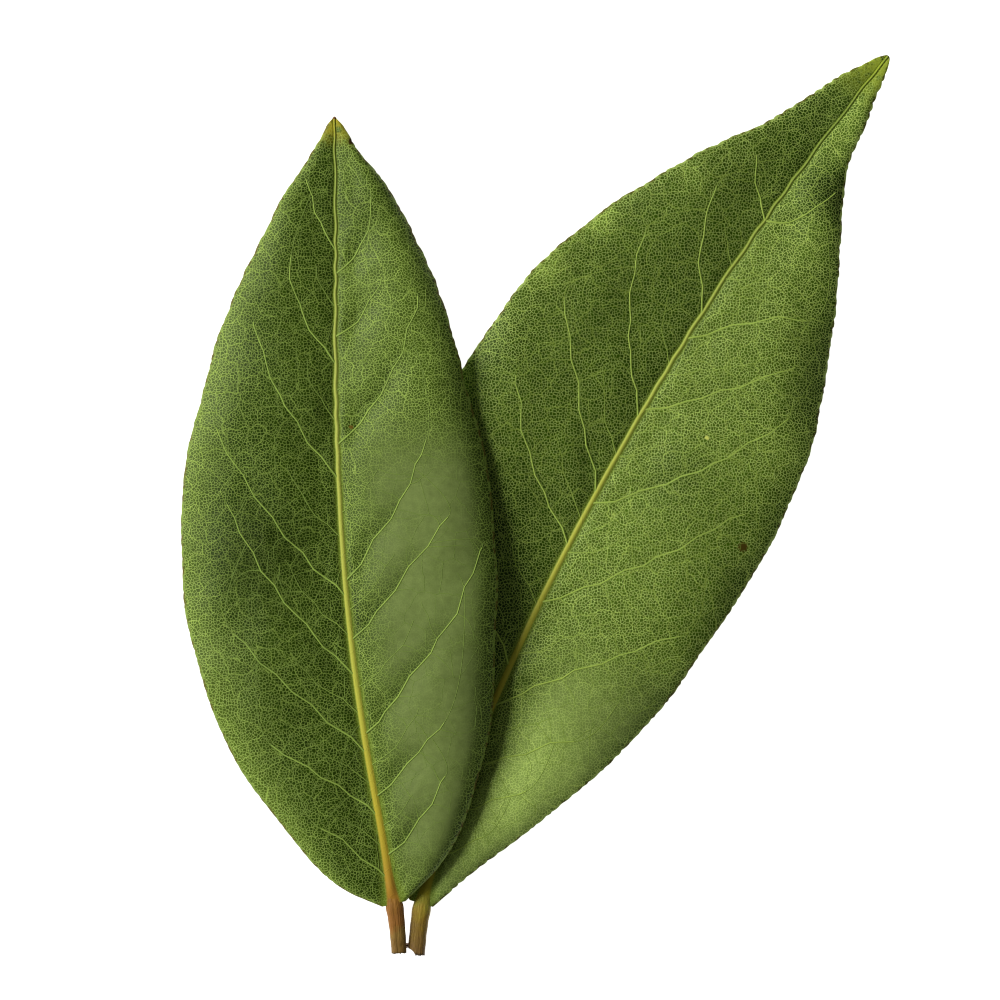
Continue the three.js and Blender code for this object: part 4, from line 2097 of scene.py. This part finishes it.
@dataclass
class Studio:
    """A pale floor, soft light from the left and a camera that looks straight down."""

    view_width: float = 0.114
    view_centre: tuple[float, float] = (-0.0041, 0.0006)
    camera_height: float = 1.0
    sensor: float = 36.0
    floor_size: float = 1.2
    key_place: tuple[float, float, float] = (-0.64, 0.2, 0.48)
    key_size: float = 0.42
    key_power: float = 8.0
    key_colour: tuple[float, float, float] = (0.985, 0.98, 0.82)
    air_strength: float = 0.14
    air_colour: Colour = (0.97, 1.0, 0.76, 1.0)
    floor_below: float = 0.00002
    floor_glow: float = 0.97

    def build(self) -> None:
        """Set up everything round the sprig."""
        self._camera()
        self._floor()
        self._light()
        world = bpy.data.worlds.new("studio_air")
        world.use_nodes = True
        air = world.node_tree.nodes["Background"]
        air.inputs["Color"].default_value = self.air_colour
        air.inputs["Strength"].default_value = self.air_strength
        self._backdrop(Graph(world.node_tree), air)
        bpy.context.scene.world = world
        bpy.context.scene.view_settings.view_transform = "Standard"
        bpy.context.scene.cycles.filter_width = 1.1

    @staticmethod
    def _backdrop(graph: Graph, air: Node) -> None:
        """Show plain white past the floor's edge, and leave the light from the air as it is.

        Args:
            graph: The world's graph.
            air: The background that lights the sprig.
        """
        white = graph.node("ShaderNodeBackground")
        white.inputs["Color"].default_value = (1.0, 1.0, 1.0, 1.0)
        seen = graph.node("ShaderNodeMixShader")
        graph.feed(seen.inputs[0], graph.node("ShaderNodeLightPath").outputs["Is Camera Ray"])
        graph.feed(seen.inputs[1], air.outputs["Background"])
        graph.feed(seen.inputs[2], white.outputs["Background"])
        graph.feed(graph.tree.nodes["World Output"].inputs["Surface"], seen.outputs[0])

    def _camera(self) -> None:
        """Place a long lens straight above, with the leaves' tips towards the top."""
        data = bpy.data.cameras.new("camera")
        data.sensor_width = self.sensor
        data.lens = self.sensor * self.camera_height / self.view_width
        data.clip_start, data.clip_end = 0.05, 10.0
        camera = show("camera", data)
        camera.location = (*self.view_centre, self.camera_height)
        bpy.context.scene.camera = camera

    def _floor(self) -> None:
        """Lay the floor just under the sprig."""
        half = self.floor_size / 2
        mesh = bpy.data.meshes.new("floor")
        corners = [(-half, -half), (half, -half), (half, half), (-half, half)]
        mesh.from_pydata([(x, y, -self.floor_below) for x, y in corners], [], [(0, 1, 2, 3)])
        floor = show("floor", mesh)
        material = bpy.data.materials.new("pale_floor")
        material.use_nodes = True
        shader = material.node_tree.nodes["Principled BSDF"]
        shader.inputs["Base Color"].default_value = (0.5, 0.5, 0.5, 1.0)
        shader.inputs["Roughness"].default_value = 0.9
        shader.inputs["Specular IOR Level"].default_value = 0.1
        shader.inputs["Emission Color"].default_value = (1.0, 1.0, 1.0, 1.0)
        shader.inputs["Emission Strength"].default_value = self.floor_glow
        floor.data.materials.append(material)

    def _light(self) -> None:
        """Hang a square soft light that faces the sprig."""
        data = bpy.data.lights.new("key", "AREA")
        data.size = self.key_size
        data.energy = self.key_power
        data.color = self.key_colour
        lamp = show("key", data)
        lamp.location = self.key_place
        lamp.rotation_euler = (-Vector(self.key_place)).to_track_quat("-Z", "Y").to_euler()


# ---------- this sprig

FRONT_LATERALS = {
    Half.LEFT: (
        Lateral(0.03, 38, 44, 10), Lateral(0.11, 42, 48, 15), Lateral(0.19, 43, 38, 21),
        Lateral(0.29, 44, 18, 25), Lateral(0.39, 43, 20, 25), Lateral(0.54, 44, 8, 21),
        Lateral(0.685, 42, 0, 14), Lateral(0.83, 44, 5, 9),
    ),
    Half.RIGHT: (
        Lateral(0.06, 56, 42, 12), Lateral(0.135, 55, 48, 12), Lateral(0.215, 47, 28, 26),
        Lateral(0.335, 45, 41, 18), Lateral(0.41, 43, 26, 19), Lateral(0.583, 46, 13, 20),
        Lateral(0.72, 55, 20, 9), Lateral(0.8, 47, 4, 10),
    ),
}

BACK_LATERALS = {
    Half.LEFT: (
        Lateral(0.08, 45, 40, 10), Lateral(0.17, 46, 40, 16), Lateral(0.26, 49, 36, 20),
        Lateral(0.40, 56, 33, 21), Lateral(0.46, 40, 36, 23), Lateral(0.55, 47, 12, 22),
        Lateral(0.675, 46, 12, 15), Lateral(0.79, 62, 32, 8),
    ),
    Half.RIGHT: (
        Lateral(0.05, 50, 46, 6), Lateral(0.1, 54, 50, 9), Lateral(0.15, 55, 55, 13),
        Lateral(0.217, 40, 48, 23), Lateral(0.335, 44, 38, 26), Lateral(0.45, 48, 28, 25),
        Lateral(0.56, 46, 38, 18), Lateral(0.645, 38, 60, 14), Lateral(0.79, 56, 6, 9),
    ),
}

FRONT_COLOURS = BladeColours(
    deep=paint(36, 56, 2),
    fresh=paint(48, 70, 6),
    cell_shadow=paint(20, 34, 0),
    vein=paint(130, 152, 76),
    wide_vein=paint(150, 176, 84),
    rib=(
        (0.0, paint(160, 112, 46)), (0.03, paint(174, 136, 52)), (0.06, paint(180, 156, 54)),
        (0.12, paint(188, 172, 60)), (0.27, paint(186, 186, 78)), (0.6, paint(176, 184, 90)),
        (0.9, paint(146, 160, 78)),
    ),
    rib_edge=paint(120, 140, 48),
    thin_vein=paint(110, 132, 62),
    margin=paint(96, 78, 36),
    # the painted sheen's colour, then the lit green that the painted light mixes in
    painted_sheen=paint(94, 107, 64),
    lit_wash=paint(112, 132, 64),
    tip=paint(168, 158, 44),
    underside=paint(104, 118, 64),
)

BACK_COLOURS = BladeColours(
    deep=paint(38, 62, 2),
    fresh=paint(52, 78, 8),
    cell_shadow=paint(20, 36, 0),
    vein=paint(158, 180, 98),
    wide_vein=paint(166, 190, 92),
    rib=(
        (0.0, paint(150, 138, 44)), (0.05, paint(152, 148, 44)), (0.2, paint(170, 158, 54)),
        (0.35, paint(182, 182, 74)), (0.6, paint(172, 184, 84)), (0.9, paint(132, 152, 70)),
    ),
    rib_edge=paint(112, 132, 42),
    thin_vein=paint(124, 148, 62),
    margin=paint(88, 74, 32),
    # the painted sheen's colour, then the lit green that the painted light mixes in
    painted_sheen=paint(112, 126, 76),
    lit_wash=paint(112, 134, 58),
    tip=paint(160, 176, 60),
    underside=paint(108, 122, 66),
)

FRONT_STALK_FINISH = StalkFinish(
    "front_stalk_skin",
    stops=(
        (0.12, paint(124, 96, 50)), (0.27, paint(136, 108, 54)), (0.41, paint(142, 94, 42)),
        (0.59, paint(146, 98, 48)), (0.73, paint(154, 108, 46)), (0.88, paint(168, 124, 50)),
        (1.0, paint(174, 134, 52)),
    ),
    streak=paint(122, 84, 42),
    cut=paint(76, 60, 40),
)

BACK_STALK_FINISH = StalkFinish(
    "back_stalk_skin",
    stops=(
        (0.0, paint(104, 74, 42)), (0.12, paint(122, 92, 54)), (0.3, paint(136, 108, 50)),
        (0.45, paint(148, 120, 44)), (0.6, paint(158, 138, 52)), (0.75, paint(162, 156, 58)),
        (1.0, paint(152, 144, 48)),
    ),
    streak=paint(118, 96, 42),
    cut=paint(82, 62, 36),
)


def report(piece: Object) -> None:
    """Log a finished piece and its size."""
    log.info("%s: %d faces", piece.name, len(piece.data.polygons))


def shared_groups() -> Groups:
    """Build the shader groups that the finishes share."""
    return {"mesh": vein_mesh_group(), "mottle": mottle_group(), "spot": spot_group()}


def make_leaf(
    name: str,
    shape: LeafShape,
    laterals: dict[Half, tuple[Lateral, ...]],
    finish: BladeFinish,
    groups: Groups,
    tree: SweepTree,
    seed: int,
    tip_power: float,
    valley_depth: float,
    scallop: float,
) -> None:
    """Build one blade and its raised veins.

    Args:
        name: front or back.
        shape: The leaf's form.
        laterals: Its side veins.
        finish: The blade's finish.
        groups: The shared shader groups.
        tree: The tree that sweeps veins.
        seed: What its chance details are drawn from.
        tip_power: How its tip closes, 0.5 for a round tip and 1 for a pointed one.
        valley_depth: How deep its side veins lie.
        scallop: How deep its margin is scalloped.
    """
    venation = Venation(shape, laterals, seed)
    relief = Relief(venation, seed + 1, valley_depth=valley_depth)
    blade = Blade(f"{name}_blade_skin", f"{name}_leaf_blade", f"{name}_blade", shape, relief, seed,
                  tip_power=tip_power, scallop=scallop)
    skin = blade.build()
    blade.dress(skin, finish.make(groups))
    report(skin)
    ridges = VeinRidges(f"{name}_blade_veins", f"{name}_blade", blade, venation)
    colours = finish.colours
    vein_finish = VeinFinish(f"{name}_vein_skin", colours.wide_vein, colours.thin_vein)
    raised = ridges.build(tree, vein_finish.make(groups))
    ridges.dress(raised)
    report(raised)


def main() -> None:
    """Build the sprig and the studio."""
    logging.basicConfig(level=logging.INFO, format="%(name)s %(message)s")
    groups = shared_groups()
    tree = SweepTree()
    front = BladeFinish(
        # Half.RIGHT and the three numbers after it place and weigh the painted sheen
        "front_blade_skin", FRONT_COLOURS, Half.RIGHT, 0.1, 0.52, 0.92,
        painted_vein_shade=0.7,
        painted_lightness=((0.0, 0.9), (0.06, 0.5), (0.14, 0.1), (0.22, 0.0), (0.49, 0.0), (0.52, 0.55),
                  (0.75, 0.62), (0.92, 0.5), (1.0, 0.3)),
        spots=(
            Spot(-6.2, 91.6, 0.55, paint(52, 36, 12)), Spot(-6.3, 59, 0.3, paint(104, 84, 30)),
            Spot(-8.2, 94.3, 0.3, paint(112, 76, 40)),
        ),
        # patches of painted shade
        patches=(Patch(-16.7, 44.5, 7, -0.55), Patch(-10.5, 60, 4, -0.2), Patch(-5, 84, 5, -0.35)),
    )
    back = BladeFinish(
        # Half.RIGHT and the three numbers after it place and weigh the painted sheen
        "back_blade_skin", BACK_COLOURS, Half.RIGHT, 0.0, 0.24, 0.56,
        painted_vein_shade=0.25,
        painted_sheen_edge=1.07, base_painted_lightness=0.66,
        painted_lightness=((0.0, 0.5), (0.06, 0.1), (0.3, 0.0), (0.48, 0.0), (0.52, 0.55), (0.75, 0.45),
                  (0.92, 0.2), (0.99, 0.1)),
        tip_from=0.93,
        # patches of painted light, and of painted shade where the tone is below zero
        patches=(
            Patch(22.5, 27.5, 5, 0.25), Patch(16.5, 20, 5.5, 0.4), Patch(11, 13.5, 4.5, 0.35),
            Patch(46.4, 79.4, 3.2, 0.25), Patch(31.2, 53, 4.5, -0.35), Patch(44.2, 55.9, 3.5, 0.45),
            Patch(39.3, 43.8, 2, 0.35), Patch(30.4, 31.5, 2.5, 0.35), Patch(32.6, 87.4, 2.2, 0.4),
            Patch(22.2, 82.6, 1.9, 0.75), Patch(16, 76.9, 2.2, 0.75), Patch(48.6, 85.6, 3.2, -1.0),
            Patch(51.5, 93, 4.5, 0.6),
        ),
        spots=(
            Spot(38.3, 45.4, 0.7, paint(74, 62, 20)), Spot(34.2, 57.8, 0.3, paint(206, 210, 110)),
        ),
    )
    make_leaf("front", FRONT_SHAPE, FRONT_LATERALS, front, groups, tree, seed=3, tip_power=1.0,
              valley_depth=0.26, scallop=0.08)
    make_leaf("back", BACK_SHAPE, BACK_LATERALS, back, groups, tree, seed=8, tip_power=0.5,
              valley_depth=0.16, scallop=0.14)
    stalks = (
        (Stalk("front_stalk_skin", "front_leaf_stalk", "front_stalk", FRONT_SHAPE,
               (-0.82, -0.8, 2.05), 0.84, 1.03, seed=5), FRONT_STALK_FINISH),
        (Stalk("back_stalk_skin", "back_leaf_stalk", "back_stalk", BACK_SHAPE,
               (1.13, -1.05, 1.75), 0.96, 1.03, seed=6, torn=True), BACK_STALK_FINISH),
    )
    for stalk, finish in stalks:
        piece = stalk.build()
        stalk.dress(piece, finish.make(groups))
        report(piece)
    flake = BarkFlake()
    piece = flake.build()
    flake.dress(piece, BarkFinish().make(groups))
    report(piece)
    Studio().build()


if __name__ == "__main__":
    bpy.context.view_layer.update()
    main()
